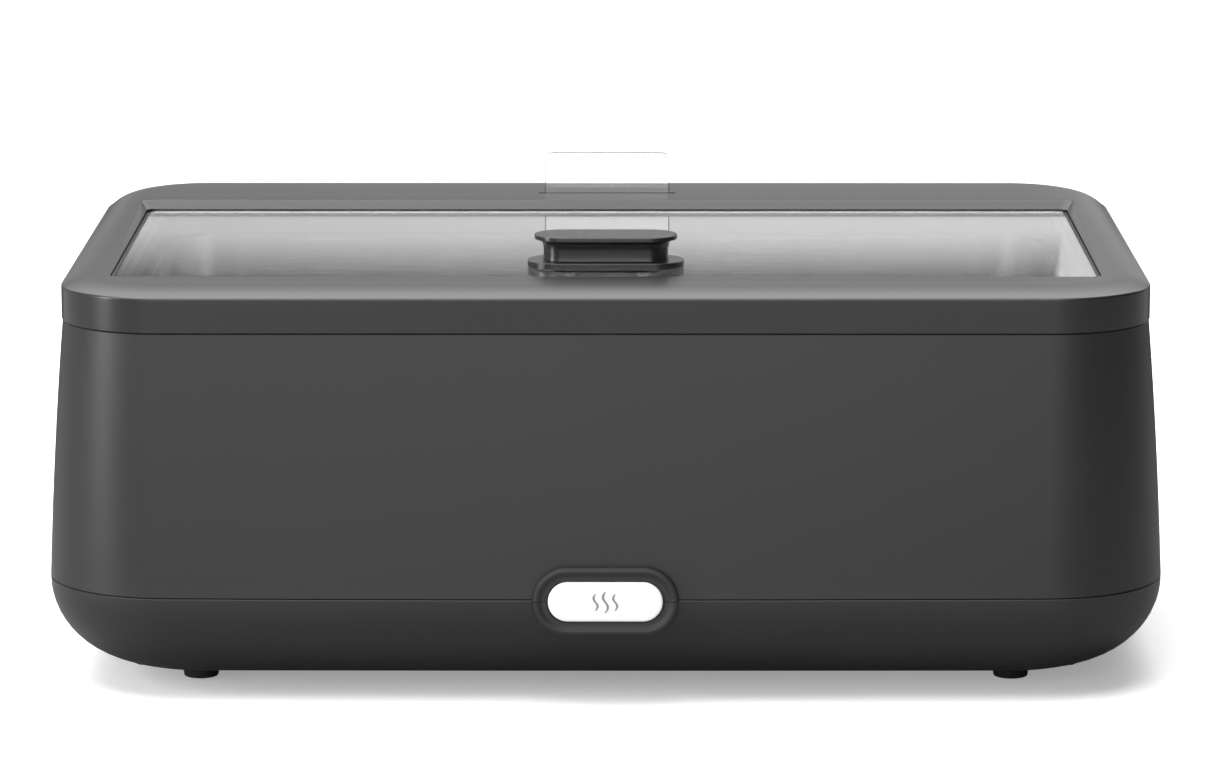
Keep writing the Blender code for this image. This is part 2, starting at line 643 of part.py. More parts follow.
def make_feet_and_screws():
    corner_names = ("front_left", "front_right", "rear_left", "rear_right")
    top = TRAY_BOTTOM_Z - FIT_GAP
    head_low = FOOT_HEAD_RECESS - M4_HEAD_HEIGHT
    for (x, y), where in zip(corners(FOOT_X, FOOT_Y), corner_names):
        foot = rod("foot_" + where, FOOT_RADIUS, (x, y, 0), (x, y, top), FOOT_TOP_RADIUS)
        part(foot, "foot_" + where, RUBBER)
        cut(foot, rod("foot_well", M4_HEAD + SCREW_CLEARANCE, (x, y, -WALL),
                      (x, y, FOOT_HEAD_RECESS + FIT_GAP), segments=14))
        cut(foot, rod("foot_hole", M4_RADIUS + SCREW_CLEARANCE, (x, y, 0), (x, y, top + WALL), segments=12))
        screw("foot_screw_" + where, x, y, head_low, FOOT_HEAD_RECESS, TRAY_BOTTOM_Z + FOOT_BOSS_HEIGHT)
    seat = POST_JOIN_Z - FIT_GAP - CASE_SCREW_GRIP - FIT_GAP
    for (x, y), where in zip(corners(POST_X, POST_Y), corner_names):
        screw("case_screw_" + where, x, y, seat - M4_HEAD_HEIGHT, seat, POST_JOIN_Z + CASE_SCREW_BITE)


def make_badge():
    face = BOSS_FACE_Y + BADGE_RECESS - FIT_GAP - BADGE_THICKNESS
    part(stadium("badge_plate", BADGE_LENGTH, BADGE_HEIGHT, face, face + BADGE_THICKNESS, LOWER_SEAM_Z),
         "badge_plate", WHITE)


# ---- pans and heater ----------------------------------------------------------------------------
def make_pan(name, flange_length, flange_width, length, width, corner, flange_z, floor_z):
    """A drawn steel pan: a flange, and a well with drafted walls and a rounded floor edge."""
    def well(inset, top, floor):
        low = 2 * (inset + PAN_DRAFT)
        flat = low + 2 * PAN_FLOOR_ROUND
        turn = low + 0.6 * PAN_FLOOR_ROUND
        return ((length - flat, width - flat, corner - inset - PAN_FLOOR_ROUND, floor, 0.0),
                (length - turn, width - turn, corner - inset - 0.3 * PAN_FLOOR_ROUND,
                 floor + 0.3 * PAN_FLOOR_ROUND, 0.0),
                (length - low, width - low, corner - inset, floor + PAN_FLOOR_ROUND, 0.0),
                (length - 2 * inset, width - 2 * inset, corner - inset, top, 0.0))
    flange_corner = corner + (flange_width - width) / 2
    pan = slab(name, flange_length, flange_width, flange_corner, flange_z, flange_z + SHEET)
    part(pan, name, STEEL)
    join(pan, loft(name + "_well", well(0.0, flange_z + SHEET / 2, floor_z - SHEET)))
    top = flange_z + 4 * SHEET
    cut(pan, loft(name + "_inside", well(SHEET, top, floor_z)))


def make_pans():
    make_pan("food_pan", PAN_FLANGE_LENGTH, PAN_FLANGE_WIDTH, PAN_LENGTH, PAN_WIDTH, PAN_CORNER,
             FOOD_FLANGE_Z, FOOD_FLOOR_Z)
    make_pan("water_pan", WATER_LENGTH + 2 * WATER_FLANGE, WATER_WIDTH + 2 * WATER_FLANGE,
             WATER_LENGTH, WATER_WIDTH, WATER_CORNER, WATER_FLANGE_Z, WATER_FLOOR_Z)


def element_route():
    """The heating element's bends: four runs along X, with both ends at the rear."""
    half = 1.5 * ELEMENT_PITCH
    bend = ELEMENT_PITCH / 2
    left = ((-ELEMENT_STUB, half), (-ELEMENT_RUN, half), (-ELEMENT_RUN - bend, half - bend),
            (-ELEMENT_RUN, half - 2 * bend), (-ELEMENT_STUB, half - 2 * bend),
            (-ELEMENT_STUB + bend, half - 3 * bend), (-ELEMENT_STUB, half - 4 * bend),
            (-ELEMENT_RUN, half - 4 * bend), (-ELEMENT_RUN - bend, half - 5 * bend),
            (-ELEMENT_RUN, half - 6 * bend))
    right = [(-x, y) for x, y in reversed(left)]
    return [(x, y, ELEMENT_Z) for x, y in (*left, *right)]


def make_heater():
    part(slab("heater_plate", HEATER_LENGTH, HEATER_WIDTH, PAN_FLOOR_ROUND, HEATER_BOTTOM_Z, HEATER_TOP_Z),
         "heater_plate", ALUMINIUM)
    part(tube("heating_element", element_route(), ELEMENT_RADIUS, resolution=1), "heating_element", STEEL)
    half = 1.5 * ELEMENT_PITCH + 4 * ELEMENT_RADIUS
    for side, where in ((-1, "left"), (1, "right")):
        clamp = block("heater_clamp", side * CLAMP_X, 0, CLAMP_TOP_Z - CLAMP_THICKNESS / 2, CLAMP_WIDTH,
                      2 * half, CLAMP_THICKNESS)
        part(clamp, "heater_clamp_" + where, ZINC)
        for end in (-1, 1):
            join(clamp, box("clamp_leg", (side * CLAMP_X - CLAMP_WIDTH / 2, end * half - CLAMP_THICKNESS,
                                          CLAMP_TOP_Z - CLAMP_THICKNESS),
                            (side * CLAMP_X + CLAMP_WIDTH / 2, end * half + CLAMP_THICKNESS,
                             HEATER_BOTTOM_Z - FIT_GAP)))
    top = HEATER_BOTTOM_Z - FIT_GAP
    part(rod("thermal_cutout", CUTOUT_RADIUS, (0, CUTOUT_Y, top - CUTOUT_HEIGHT), (0, CUTOUT_Y, top)),
         "thermal_cutout", DARK)
    part(slab("insulation_mat", HEATER_LENGTH + 2 * MAT_OVERHANG, HEATER_WIDTH + 2 * MAT_OVERHANG,
              PAN_FLOOR_ROUND, MAT_BOTTOM_Z, MAT_TOP_Z), "insulation_mat", WOOL)


# ---- lid ----------------------------------------------------------------------------------------
def plateau_z(y):
    """Height of the lid's flat top, which rises towards the rear."""
    rear = LID_WIDTH / 2 - PLATEAU_REAR
    return LID_FRONT_Z + (LID_CREST_Z - LID_FRONT_Z) * (y - WINDOW_FRONT_Y) / (rear - WINDOW_FRONT_Y)


def lid_sections(inset, bottom):
    """The lid's outside, or its inside with an inset, from the seam up to the plateau."""
    length, width = LID_LENGTH - 2 * inset, LID_WIDTH - 2 * inset
    front = -LID_WIDTH / 2 + PLATEAU_FRONT
    rear = LID_WIDTH / 2 - PLATEAU_REAR
    top_radius = LID_CORNER - PLATEAU_SIDE
    return [(length, width, LID_CORNER - inset, bottom, 0.0),
            (length, width, LID_CORNER - inset, LID_EDGE_Z - LID_ROUND - inset, 0.0),
            (length - 2 * LID_ROUND, width - 2 * LID_ROUND, LID_CORNER - inset - LID_ROUND,
             LID_EDGE_Z - inset, 0.0),
            (LID_LENGTH - 2 * PLATEAU_SIDE, rear - front, top_radius,
             lambda y: plateau_z(y) - inset, (front + rear) / 2)]


def window_slab(name, grow, low, high):
    """A plate of the window's outline, grown or shrunk all round."""
    return slab(name, WINDOW_LENGTH + 2 * grow, WINDOW_WIDTH + 2 * grow, max(WINDOW_CORNER + grow, 0.0012),
                low, high, WINDOW_Y)


def make_lid_frame():
    frame = part(loft("lid_frame", lid_sections(0.0, UPPER_SEAM_Z)), "lid_frame", BLACK)
    cut(frame, loft("lid_cavity", lid_sections(WALL, UPPER_SEAM_Z - WALL)))
    collar = loft("window_collar", (
        (WINDOW_LENGTH + 2 * COLLAR, WINDOW_WIDTH + 2 * COLLAR, WINDOW_CORNER + COLLAR, COLLAR_BOTTOM_Z, WINDOW_Y),
        (WINDOW_LENGTH + 2 * COLLAR, WINDOW_WIDTH + 2 * COLLAR, WINDOW_CORNER + COLLAR,
         lambda y: plateau_z(y) - WALL / 2, WINDOW_Y)))
    join(frame, collar)
    cut(frame, window_slab("window", 0.0, COLLAR_BOTTOM_Z - WALL, LID_CREST_Z + WALL))
    slot_floor = plateau_z(LABEL_Y) - SLOT_DEPTH
    socket_half_y = LABEL_THICKNESS / 2 + SLOT_CLEARANCE + SLOT_WALL
    join(frame, box("label_socket",
                    (-SLOT_WIDTH / 2 - SLOT_WALL, LABEL_Y - socket_half_y, slot_floor - WALL / 2),
                    (SLOT_WIDTH / 2 + SLOT_WALL, LABEL_Y + socket_half_y, plateau_z(LABEL_Y) - WALL / 2)))
    cut(frame, box("label_slot", (-SLOT_WIDTH / 2, LABEL_Y - LABEL_THICKNESS / 2 - SLOT_CLEARANCE, slot_floor),
                   (SLOT_WIDTH / 2, LABEL_Y + LABEL_THICKNESS / 2 + SLOT_CLEARANCE, LID_CREST_Z + WALL)))


def make_glazing():
    grow = -FIT_GAP
    gasket = window_slab("glass_gasket", grow, GASKET_BOTTOM_Z, GLASS_TOP_Z - 2 * FIT_GAP)
    part(gasket, "glass_gasket", RUBBER)
    cut(gasket, window_slab("glass_pocket", grow - GASKET_WALL, GLASS_BOTTOM_Z - FIT_GAP, GLASS_TOP_Z + WALL))
    cut(gasket, window_slab("gasket_opening", grow - GASKET_WALL - GASKET_LEDGE, GASKET_BOTTOM_Z - WALL,
                            GLASS_TOP_Z + WALL))
    glass = window_slab("glass_pane", grow - GASKET_WALL - FIT_GAP, GLASS_BOTTOM_Z, GLASS_TOP_Z)
    part(glass, "glass_pane", GLASS)
    for side in (-1, 1):
        cut(glass, handle_bore("glass_hole", side, GLASS_BOTTOM_Z - WALL, GLASS_TOP_Z + WALL))
    make_inner_frame(grow)


def seal_slab(name, grow, low, high):
    """A plate of the lid seal's outline, grown or shrunk all round."""
    return slab(name, SEAL_LENGTH + 2 * grow, SEAL_WIDTH + 2 * grow, LID_CORNER - SEAL_MARGIN + grow,
                low, high)


def make_inner_frame(grow):
    """The lid's inner frame, which carries the glass and holds the lid seal in a groove."""
    edge = WALL + FIT_GAP + LID_ROUND
    low = INNER_FRAME_TOP_Z - INNER_FRAME_DEPTH
    roof = INNER_FRAME_TOP_Z - INNER_FRAME_FLOOR
    inner = slab("lid_inner_frame", LID_LENGTH - 2 * edge, LID_WIDTH - 2 * edge, LID_CORNER - edge,
                 low, INNER_FRAME_TOP_Z)
    part(inner, "lid_inner_frame", DARK)
    limit = loft("inner_frame_limit", lid_sections(WALL + FIT_GAP, low - WALL))
    boolean(inner, as_cutter(limit, "inner_frame_limit"), 'INTERSECT')
    opening = grow - GASKET_WALL - 2 * GASKET_LEDGE
    cut(inner, window_slab("inner_opening", opening, low - WALL, INNER_FRAME_TOP_Z + WALL))
    groove = seal_slab("seal_groove", FIT_GAP, low - WALL, roof)
    cut(as_cutter(groove, "seal_groove"),
        seal_slab("seal_tongue", -SEAL_WALL - FIT_GAP, low - 2 * WALL, roof + WALL))
    cut(inner, groove)
    pocket = seal_slab("rear_pocket", -SEAL_WALL - WALL, low - WALL, roof)
    cut(as_cutter(pocket, "rear_pocket"),
        window_slab("pocket_core", opening + WALL, low - 2 * WALL, roof + WALL))
    cut(inner, pocket)
    seal = seal_slab("lid_seal", 0.0, UPPER_SEAM_Z - SEAL_DROP, roof - FIT_GAP)
    part(seal, "lid_seal", RUBBER)
    cut(seal, seal_slab("seal_opening", -SEAL_WALL, UPPER_SEAM_Z - SEAL_DROP - WALL, roof + WALL))
    socket_half_y = LABEL_THICKNESS / 2 + SLOT_CLEARANCE + SLOT_WALL + FIT_GAP
    socket_low = plateau_z(LABEL_Y) - SLOT_DEPTH - WALL / 2
    if socket_low < INNER_FRAME_TOP_Z + FIT_GAP:
        cut(inner, box("socket_relief", (-SLOT_WIDTH / 2 - SLOT_WALL - FIT_GAP, LABEL_Y - socket_half_y,
                                         socket_low - FIT_GAP),
                       (SLOT_WIDTH / 2 + SLOT_WALL + FIT_GAP, LABEL_Y + socket_half_y, INNER_FRAME_TOP_Z + WALL)))


def make_label_holder():
    bottom = plateau_z(LABEL_Y) - SLOT_DEPTH + FIT_GAP
    radius = LABEL_CORNER
    height = LABEL_TOP_Z - bottom
    plate = upright(slab("label_holder", LABEL_WIDTH, height, radius,
                         -LABEL_THICKNESS / 2, LABEL_THICKNESS / 2))
    plate.data.transform(Matrix.Translation((0, LABEL_Y, bottom + height / 2)))
    part(plate, "label_holder", ACRYLIC)


def handle_bore(name, side, low, high):
    x = side * HANDLE_SCREW_X
    return rod(name, M4_RADIUS + SCREW_CLEARANCE, (x, HANDLE_Y, low), (x, HANDLE_Y, high), segments=12)


def handle_section(length, width, z):
    return (length, width, width * 0.49, z, HANDLE_Y)


def make_handle():
    low = GLASS_TOP_Z + FIT_GAP
    round_over = FLANGE_HEIGHT * 0.3
    base = loft("handle_base", (handle_section(FLANGE_LENGTH, FLANGE_WIDTH, low),
                                handle_section(FLANGE_LENGTH, FLANGE_WIDTH, FLANGE_TOP_Z - round_over),
                                handle_section(FLANGE_LENGTH - 2 * round_over, FLANGE_WIDTH - 2 * round_over,
                                               FLANGE_TOP_Z)))
    part(base, "handle_base", DARK)
    foot = FLANGE_TOP_Z + FIT_GAP
    cap_low = HANDLE_TOP_Z - CAP_THICKNESS
    neck_height = cap_low - foot
    sections = []
    for step in range(NECK_STEPS + 1):
        share = step / NECK_STEPS
        flare = share ** 3
        sections.append(handle_section(NECK_LENGTH + flare * (CAP_LENGTH - NECK_LENGTH) * 0.75,
                                       NECK_WIDTH + flare * (CAP_WIDTH - NECK_WIDTH) * 0.75,
                                       foot + share * neck_height))
    edge = CAP_THICKNESS * 0.3
    sections += [handle_section(CAP_LENGTH, CAP_WIDTH, cap_low),
                 handle_section(CAP_LENGTH, CAP_WIDTH, HANDLE_TOP_Z - edge),
                 handle_section(CAP_LENGTH - 2 * edge, CAP_WIDTH - 2 * edge, HANDLE_TOP_Z)]
    sections[NECK_STEPS] = (*sections[NECK_STEPS][:3], cap_low - FIT_GAP, HANDLE_Y)
    grip = part(loft("handle_grip", sections), "handle_grip", DARK)
    plate = slab("handle_backplate", BACKPLATE_LENGTH, BACKPLATE_WIDTH, BACKPLATE_WIDTH * 0.49,
                 BACKPLATE_TOP_Z - BACKPLATE_THICKNESS, BACKPLATE_TOP_Z, HANDLE_Y)
    part(plate, "handle_backplate", STEEL)
    thread_top = cap_low - FIT_GAP
    head_top = BACKPLATE_TOP_Z - BACKPLATE_THICKNESS - FIT_GAP
    for side, where in ((-1, "left"), (1, "right")):
        cut(base, handle_bore("base_bore", side, low - WALL, FLANGE_TOP_Z + WALL))
        cut(grip, handle_bore("grip_bore", side, foot - WALL, thread_top))
        cut(plate, handle_bore("plate_bore", side, head_top - WALL, BACKPLATE_TOP_Z + WALL))
        screw("handle_screw_" + where, side * HANDLE_SCREW_X, HANDLE_Y, head_top - M4_HEAD_HEIGHT, head_top,
              thread_top - WALL)


# ---- hinges -------------------------------------------------------------------------------------
def knuckle(name, low_x, high_x):
    return rod(name, KNUCKLE_RADIUS, (low_x, HINGE_Y, HINGE_Z), (high_x, HINGE_Y, HINGE_Z), segments=16)


def make_hinge(side, where):
    """A butt hinge behind the seam: two knuckles on the casing's bracket, one on the lid's leaf."""
    middle = side * HINGE_X
    third = HINGE_LENGTH / 6
    low_x, high_x = middle - HINGE_LENGTH / 2, middle + HINGE_LENGTH / 2
    plate_y = PAD_FACE_Y + FIT_GAP
    bracket = box("hinge_bracket", (low_x, plate_y, HINGE_Z - BRACKET_DROP),
                  (high_x, plate_y + LEAF, HINGE_Z - KNUCKLE_RADIUS - KNUCKLE_GAP * 2))
    part(bracket, "hinge_bracket_" + where, ZINC)
    for start, end in ((low_x, middle - third), (middle + third, high_x)):
        join(bracket, box("bracket_arm", (start, plate_y, HINGE_Z - KNUCKLE_RADIUS - 2 * LEAF),
                          (end, plate_y + LEAF, HINGE_Z - KNUCKLE_GAP)))
        join(bracket, knuckle("bracket_knuckle", start, end))
    leaf_y = LID_WIDTH / 2 + FIT_GAP
    arm_low, arm_high = middle - third + KNUCKLE_GAP, middle + third - KNUCKLE_GAP
    leaf = box("hinge_leaf", (low_x, leaf_y, HINGE_Z + KNUCKLE_RADIUS + KNUCKLE_GAP * 2),
               (high_x, leaf_y + LEAF, HINGE_Z + LEAF_RISE + KNUCKLE_RADIUS))
    part(leaf, "hinge_leaf_" + where, ZINC)
    join(leaf, box("leaf_arm", (arm_low, leaf_y, HINGE_Z + KNUCKLE_GAP),
                   (arm_high, leaf_y + LEAF, HINGE_Z + KNUCKLE_RADIUS + 2 * LEAF)))
    join(leaf, box("leaf_web", (arm_low, leaf_y + LEAF / 2, HINGE_Z + KNUCKLE_GAP),
                   (arm_high, HINGE_Y, HINGE_Z + LEAF + KNUCKLE_GAP)))
    join(leaf, knuckle("leaf_knuckle", arm_low, arm_high))
    bore = PIN_RADIUS + PIN_CLEARANCE
    for piece in (bracket, leaf):
        cut(piece, rod("hinge_bore", bore, (low_x - WALL, HINGE_Y, HINGE_Z),
                       (high_x + WALL, HINGE_Y, HINGE_Z)))
    pin = rod("hinge_pin", PIN_RADIUS, (low_x - FIT_GAP, HINGE_Y, HINGE_Z),
              (high_x + FIT_GAP, HINGE_Y, HINGE_Z),
              segments=16)
    part(pin, "hinge_pin_" + where, STEEL)


# ---- control panel ------------------------------------------------------------------------------
def panel_fitting(name, x, width, height, depth, material):
    """A body through the panel with a covering flange on the panel's face."""
    flange = block(name, x, PANEL_FACE_Y + FIT_GAP + BEZEL / 2, PANEL_Z, width + 2 * BEZEL_LIP, BEZEL,
                   height + 2 * BEZEL_LIP)
    part(flange, name, material)
    join(flange, box(name + "_body", (x - width / 2, PANEL_FACE_Y - depth, PANEL_Z - height / 2),
                     (x + width / 2, PANEL_FACE_Y + FIT_GAP + BEZEL / 2, PANEL_Z + height / 2)))
    return flange


def make_panel():
    panel = block("control_panel", 0, (PANEL_FLANGE_BACK_Y + PANEL_FLANGE_FRONT_Y) / 2, PANEL_Z,
                  PANEL_LENGTH + 2 * PANEL_FLANGE, PANEL_FLANGE_FRONT_Y - PANEL_FLANGE_BACK_Y,
                  PANEL_HEIGHT + 2 * PANEL_FLANGE)
    part(panel, "control_panel", DARK)
    join(panel, box("panel_face",
                    (-PANEL_LENGTH / 2, PANEL_FLANGE_BACK_Y + WALL / 2, PANEL_Z - PANEL_HEIGHT / 2),
                    (PANEL_LENGTH / 2, PANEL_FACE_Y, PANEL_Z + PANEL_HEIGHT / 2)))
    back, front = PANEL_FLANGE_BACK_Y - WALL, PANEL_FACE_Y + WALL
    for x, width, height in ((SWITCH_X, SWITCH_WIDTH, SWITCH_HEIGHT), (INLET_X, INLET_WIDTH, INLET_HEIGHT)):
        cut(panel, box("panel_hole", (x - width / 2 - FIT_GAP, back, PANEL_Z - height / 2 - FIT_GAP),
                       (x + width / 2 + FIT_GAP, front, PANEL_Z + height / 2 + FIT_GAP)))
    for x, radius in ((KNOB_X, SHAFT_RADIUS + SHAFT_CLEARANCE), (LAMP_X, LAMP_RADIUS + FIT_GAP)):
        cut(panel, rod("panel_bore", radius, (x, back, PANEL_Z), (x, front, PANEL_Z)))


def make_thermostat():
    back = PANEL_FLANGE_BACK_Y - FIT_GAP
    half = THERMOSTAT_SIZE / 2
    body = box("thermostat_body", (KNOB_X - half, back - THERMOSTAT_DEPTH, PANEL_Z - half),
               (KNOB_X + half, back, PANEL_Z + half))
    part(body, "thermostat_body", DARK)
    shaft_end = REAR_LIMIT_Y - KNOB_SKIN - FIT_GAP
    shaft_start = back - 3 * WALL
    cut(body, rod("shaft_bore", SHAFT_RADIUS + SHAFT_CLEARANCE, (KNOB_X, shaft_start - FIT_GAP, PANEL_Z),
                  (KNOB_X, back + WALL, PANEL_Z)))
    part(rod("thermostat_shaft", SHAFT_RADIUS, (KNOB_X, shaft_start, PANEL_Z),
             (KNOB_X, shaft_end, PANEL_Z)),
         "thermostat_shaft", ZINC)
    face = PANEL_FACE_Y + FIT_GAP
    knob = rod("thermostat_knob", KNOB_RADIUS, (KNOB_X, face, PANEL_Z), (KNOB_X, REAR_LIMIT_Y, PANEL_Z),
               KNOB_RADIUS * 0.93, segments=36)
    part(knob, "thermostat_knob", DARK)
    cut(knob, rod("knob_bore", SHAFT_RADIUS + SHAFT_CLEARANCE, (KNOB_X, face - WALL, PANEL_Z),
                  (KNOB_X, shaft_end + FIT_GAP, PANEL_Z)))


def make_lamp():
    rear = PANEL_FACE_Y + FIT_GAP
    profile = [(0.0, BEZEL * 1.6), (LAMP_RADIUS * 0.7, BEZEL * 1.4), (LAMP_RADIUS + BEZEL * 0.7, BEZEL * 0.7),
               (LAMP_RADIUS + BEZEL, 0.0), (LAMP_RADIUS, 0.0), (LAMP_RADIUS, -LAMP_DEPTH), (0.0, -LAMP_DEPTH)]
    lamp = turned("pilot_lamp", profile)
    part(lamp, "pilot_lamp", AMBER)
    lamp.rotation_euler = (math.radians(-90), 0, 0)
    lamp.location = (LAMP_X, rear, PANEL_Z)


def make_switch():
    housing = panel_fitting("power_switch_housing", SWITCH_X, SWITCH_WIDTH, SWITCH_HEIGHT, SWITCH_DEPTH, DARK)
    pocket = SWITCH_HEIGHT - 2 * BEZEL
    cut(housing, box("rocker_pocket", (SWITCH_X - ROCKER_WIDTH / 2 - FIT_GAP, ROCKER_Y - ROCKER_BACK - BEZEL * 2,
                                       PANEL_Z - pocket / 2),
                     (SWITCH_X + ROCKER_WIDTH / 2 + FIT_GAP, PANEL_FACE_Y + WALL * 2, PANEL_Z + pocket / 2)))
    profile = ((ROCKER_DISH, 0.0), (ROCKER_FRONT, ROCKER_HALF), (0.0, ROCKER_HALF * 0.88), (-ROCKER_BACK, 0.0),
               (0.0, -ROCKER_HALF * 0.88), (ROCKER_FRONT, -ROCKER_HALF))
    mesh = bmesh.new()
    side = [mesh.verts.new((-ROCKER_WIDTH / 2, y, z)) for y, z in profile]
    face = mesh.faces.new(reversed(side))
    far = bmesh.ops.extrude_face_region(mesh, geom=[face])
    moved = [item for item in far["geom"] if isinstance(item, bmesh.types.BMVert)]
    bmesh.ops.translate(mesh, vec=(ROCKER_WIDTH, 0, 0), verts=moved)
    bmesh.ops.recalc_face_normals(mesh, faces=mesh.faces)
    rocker = part(object_from(mesh, "power_switch_rocker"), "power_switch_rocker", DARK)
    rocker.rotation_euler = (-ROCKER_TILT, 0, 0)
    rocker.location = (SWITCH_X, ROCKER_Y, PANEL_Z)


def make_inlet():
    """A three-pin appliance inlet: an open socket with its contact pins."""
    inlet = panel_fitting("power_inlet", INLET_X, INLET_WIDTH, INLET_HEIGHT, INLET_DEPTH, DARK)
    back = PANEL_FACE_Y - INLET_DEPTH
    half_x, half_z = INLET_WIDTH / 2 - INLET_WALL, INLET_HEIGHT / 2 - INLET_WALL
    cut(inlet, box("inlet_socket", (INLET_X - half_x, back + INLET_BACK, PANEL_Z - half_z),
                   (INLET_X + half_x, PANEL_FACE_Y + 2 * WALL, PANEL_Z + half_z)))
    front = PANEL_FACE_Y - INLET_PIN_INSET
    for name, x, z in (("live", -INLET_PIN_PITCH, -INLET_PIN_RISE), ("neutral", INLET_PIN_PITCH, -INLET_PIN_RISE),
                       ("earth", 0.0, INLET_PIN_RISE)):
        centre = (INLET_X + x, front - INLET_PIN_LENGTH / 2, PANEL_Z + z)
        part(block("inlet_pin", *centre, INLET_PIN_THICKNESS, INLET_PIN_LENGTH, INLET_PIN_WIDTH),
             "inlet_pin_" + name, ZINC)
        cut(inlet, block("pin_hole", *centre, INLET_PIN_THICKNESS + 2 * FIT_GAP, INLET_PIN_LENGTH + FIT_GAP,
                         INLET_PIN_WIDTH + 2 * FIT_GAP))


def make_wires():
    """The inner wiring, from terminal to terminal, clear of what it passes."""
    lead = WIRE_LEAD
    pin_end = PANEL_FACE_Y - INLET_PIN_INSET - INLET_PIN_LENGTH - FIT_GAP
    switch_end = PANEL_FACE_Y - SWITCH_DEPTH - FIT_GAP
    heater_edge = HEATER_WIDTH / 2
    low = PANEL_Z - INLET_PIN_RISE
    high = PANEL_Z + SWITCH_HEIGHT / 4
    switch_low = PANEL_Z - SWITCH_HEIGHT / 4
    sag = low - THERMOSTAT_SIZE / 2
    left = KNOB_X - THERMOSTAT_SIZE / 2
    middle_y = PANEL_FLANGE_BACK_Y - THERMOSTAT_DEPTH / 2
    under = PANEL_Z - THERMOSTAT_SIZE / 2 - FIT_GAP
    pass_z = ELEMENT_Z
    element_y = 1.5 * ELEMENT_PITCH
    stub = ELEMENT_STUB - FIT_GAP
    cutout_end = CUTOUT_Y + CUTOUT_RADIUS + FIT_GAP
    plate_z = HEATER_TOP_Z - HEATER_THICKNESS / 2
    earth_z = PANEL_Z + INLET_PIN_RISE
    earth_x = INLET_X - 5 * lead
    live_x, neutral_x = INLET_X - INLET_PIN_PITCH, INLET_X + INLET_PIN_PITCH
    routes = (
        ("wire_inlet_to_switch", INSULATION_BROWN,
         ((live_x, pin_end, low), (live_x, pin_end - lead, low), (live_x * 0.7, pin_end - lead, sag),
          (live_x * 0.3, pin_end - lead / 2, sag), (SWITCH_X, switch_end - lead, switch_low),
          (SWITCH_X, switch_end, switch_low))),
        ("wire_switch_to_thermostat", INSULATION_BROWN,
         ((SWITCH_X, switch_end, high), (SWITCH_X, switch_end - lead, high),
          (left * 0.35, middle_y - lead, high), (left * 0.7, middle_y, high),
          (left - FIT_GAP, middle_y, high))),
        ("wire_thermostat_to_cutout", INSULATION_BROWN,
         ((KNOB_X, middle_y, under), (KNOB_X, middle_y, under - lead),
          (KNOB_X * 0.8, heater_edge + 5 * lead, pass_z - 1.5 * lead),
          (KNOB_X * 0.5, heater_edge + 2.5 * lead, pass_z), (2 * lead, heater_edge - lead, pass_z),
          (lead, element_y, pass_z), (0.0, cutout_end + 2 * lead, pass_z), (0.0, cutout_end, pass_z))),
        ("wire_neutral", INSULATION_BLUE,
         ((neutral_x, pin_end, low), (neutral_x, pin_end - lead, low),
          (neutral_x, heater_edge + 6 * lead, sag), (neutral_x * 0.7, heater_edge + 2.5 * lead, pass_z),
          (-3 * lead, heater_edge - 3 * lead, pass_z), (-4 * lead, element_y + lead, pass_z),
          (-stub + 2.5 * lead, element_y, pass_z), (-stub, element_y, pass_z))),
        ("wire_earth", INSULATION_GREEN,
         ((INLET_X, pin_end, earth_z), (INLET_X, pin_end - lead, earth_z),
          (earth_x, heater_edge + 6 * lead, sag), (earth_x - lead, heater_edge + 2 * lead, plate_z),
          (earth_x - lead, heater_edge + FIT_GAP, plate_z))))
    for name, material, points in routes:
        part(tube(name, points, WIRE_RADIUS, resolution=1), name, material)


def main():
    make_body_shell()
    make_base_tray()
    make_feet_and_screws()
    make_badge()
    make_pans()
    make_heater()
    make_lid_frame()
    make_glazing()
    make_label_holder()
    make_handle()
    for side, where in ((-1, "left"), (1, "right")):
        make_hinge(side, where)
    make_panel()
    make_thermostat()
    make_lamp()
    make_switch()
    make_inlet()
    make_wires()


main()
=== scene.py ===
"""Looks of a countertop water-bath food warmer with a hinged glass lid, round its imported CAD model.

Sizes are in metres: x to the right, y away from the front, z up. Seams and places that the
CAD model fixes are read from its nodes; the rest are the maker's own roundings and finishes.
"""
import math

import bmesh
import bpy
from mathutils import Matrix, Vector


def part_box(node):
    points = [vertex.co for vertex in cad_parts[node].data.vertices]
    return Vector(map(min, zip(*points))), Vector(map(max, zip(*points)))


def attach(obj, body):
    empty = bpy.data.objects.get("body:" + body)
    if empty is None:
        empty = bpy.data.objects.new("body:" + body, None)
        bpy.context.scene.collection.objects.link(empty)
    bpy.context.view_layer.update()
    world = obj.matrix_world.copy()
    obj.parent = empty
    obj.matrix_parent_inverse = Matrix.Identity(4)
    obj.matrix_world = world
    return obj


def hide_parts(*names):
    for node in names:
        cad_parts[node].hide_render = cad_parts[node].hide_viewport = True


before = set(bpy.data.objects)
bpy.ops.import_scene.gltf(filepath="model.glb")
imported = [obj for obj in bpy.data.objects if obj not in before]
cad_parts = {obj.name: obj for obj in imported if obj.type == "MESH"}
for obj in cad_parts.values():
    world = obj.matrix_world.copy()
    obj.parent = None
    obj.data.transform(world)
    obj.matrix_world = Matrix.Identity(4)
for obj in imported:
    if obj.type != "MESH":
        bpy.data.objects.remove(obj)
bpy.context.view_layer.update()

# ---- sizes -------------------------------------------------------
MM = 0.001
CORNER_STEPS = 20             # segments of a plan corner
SIDE_STEPS = 14               # segments of a straight side
CORNERS = ("front_left", "front_right", "rear_left", "rear_right")
EDGE_BREAK = 0.4 * MM         # softened moulded edge
WALL = 3 * MM

LID_LOW, LID_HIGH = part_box("lid_frame")
BADGE_LOW, BADGE_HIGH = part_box("badge_plate")

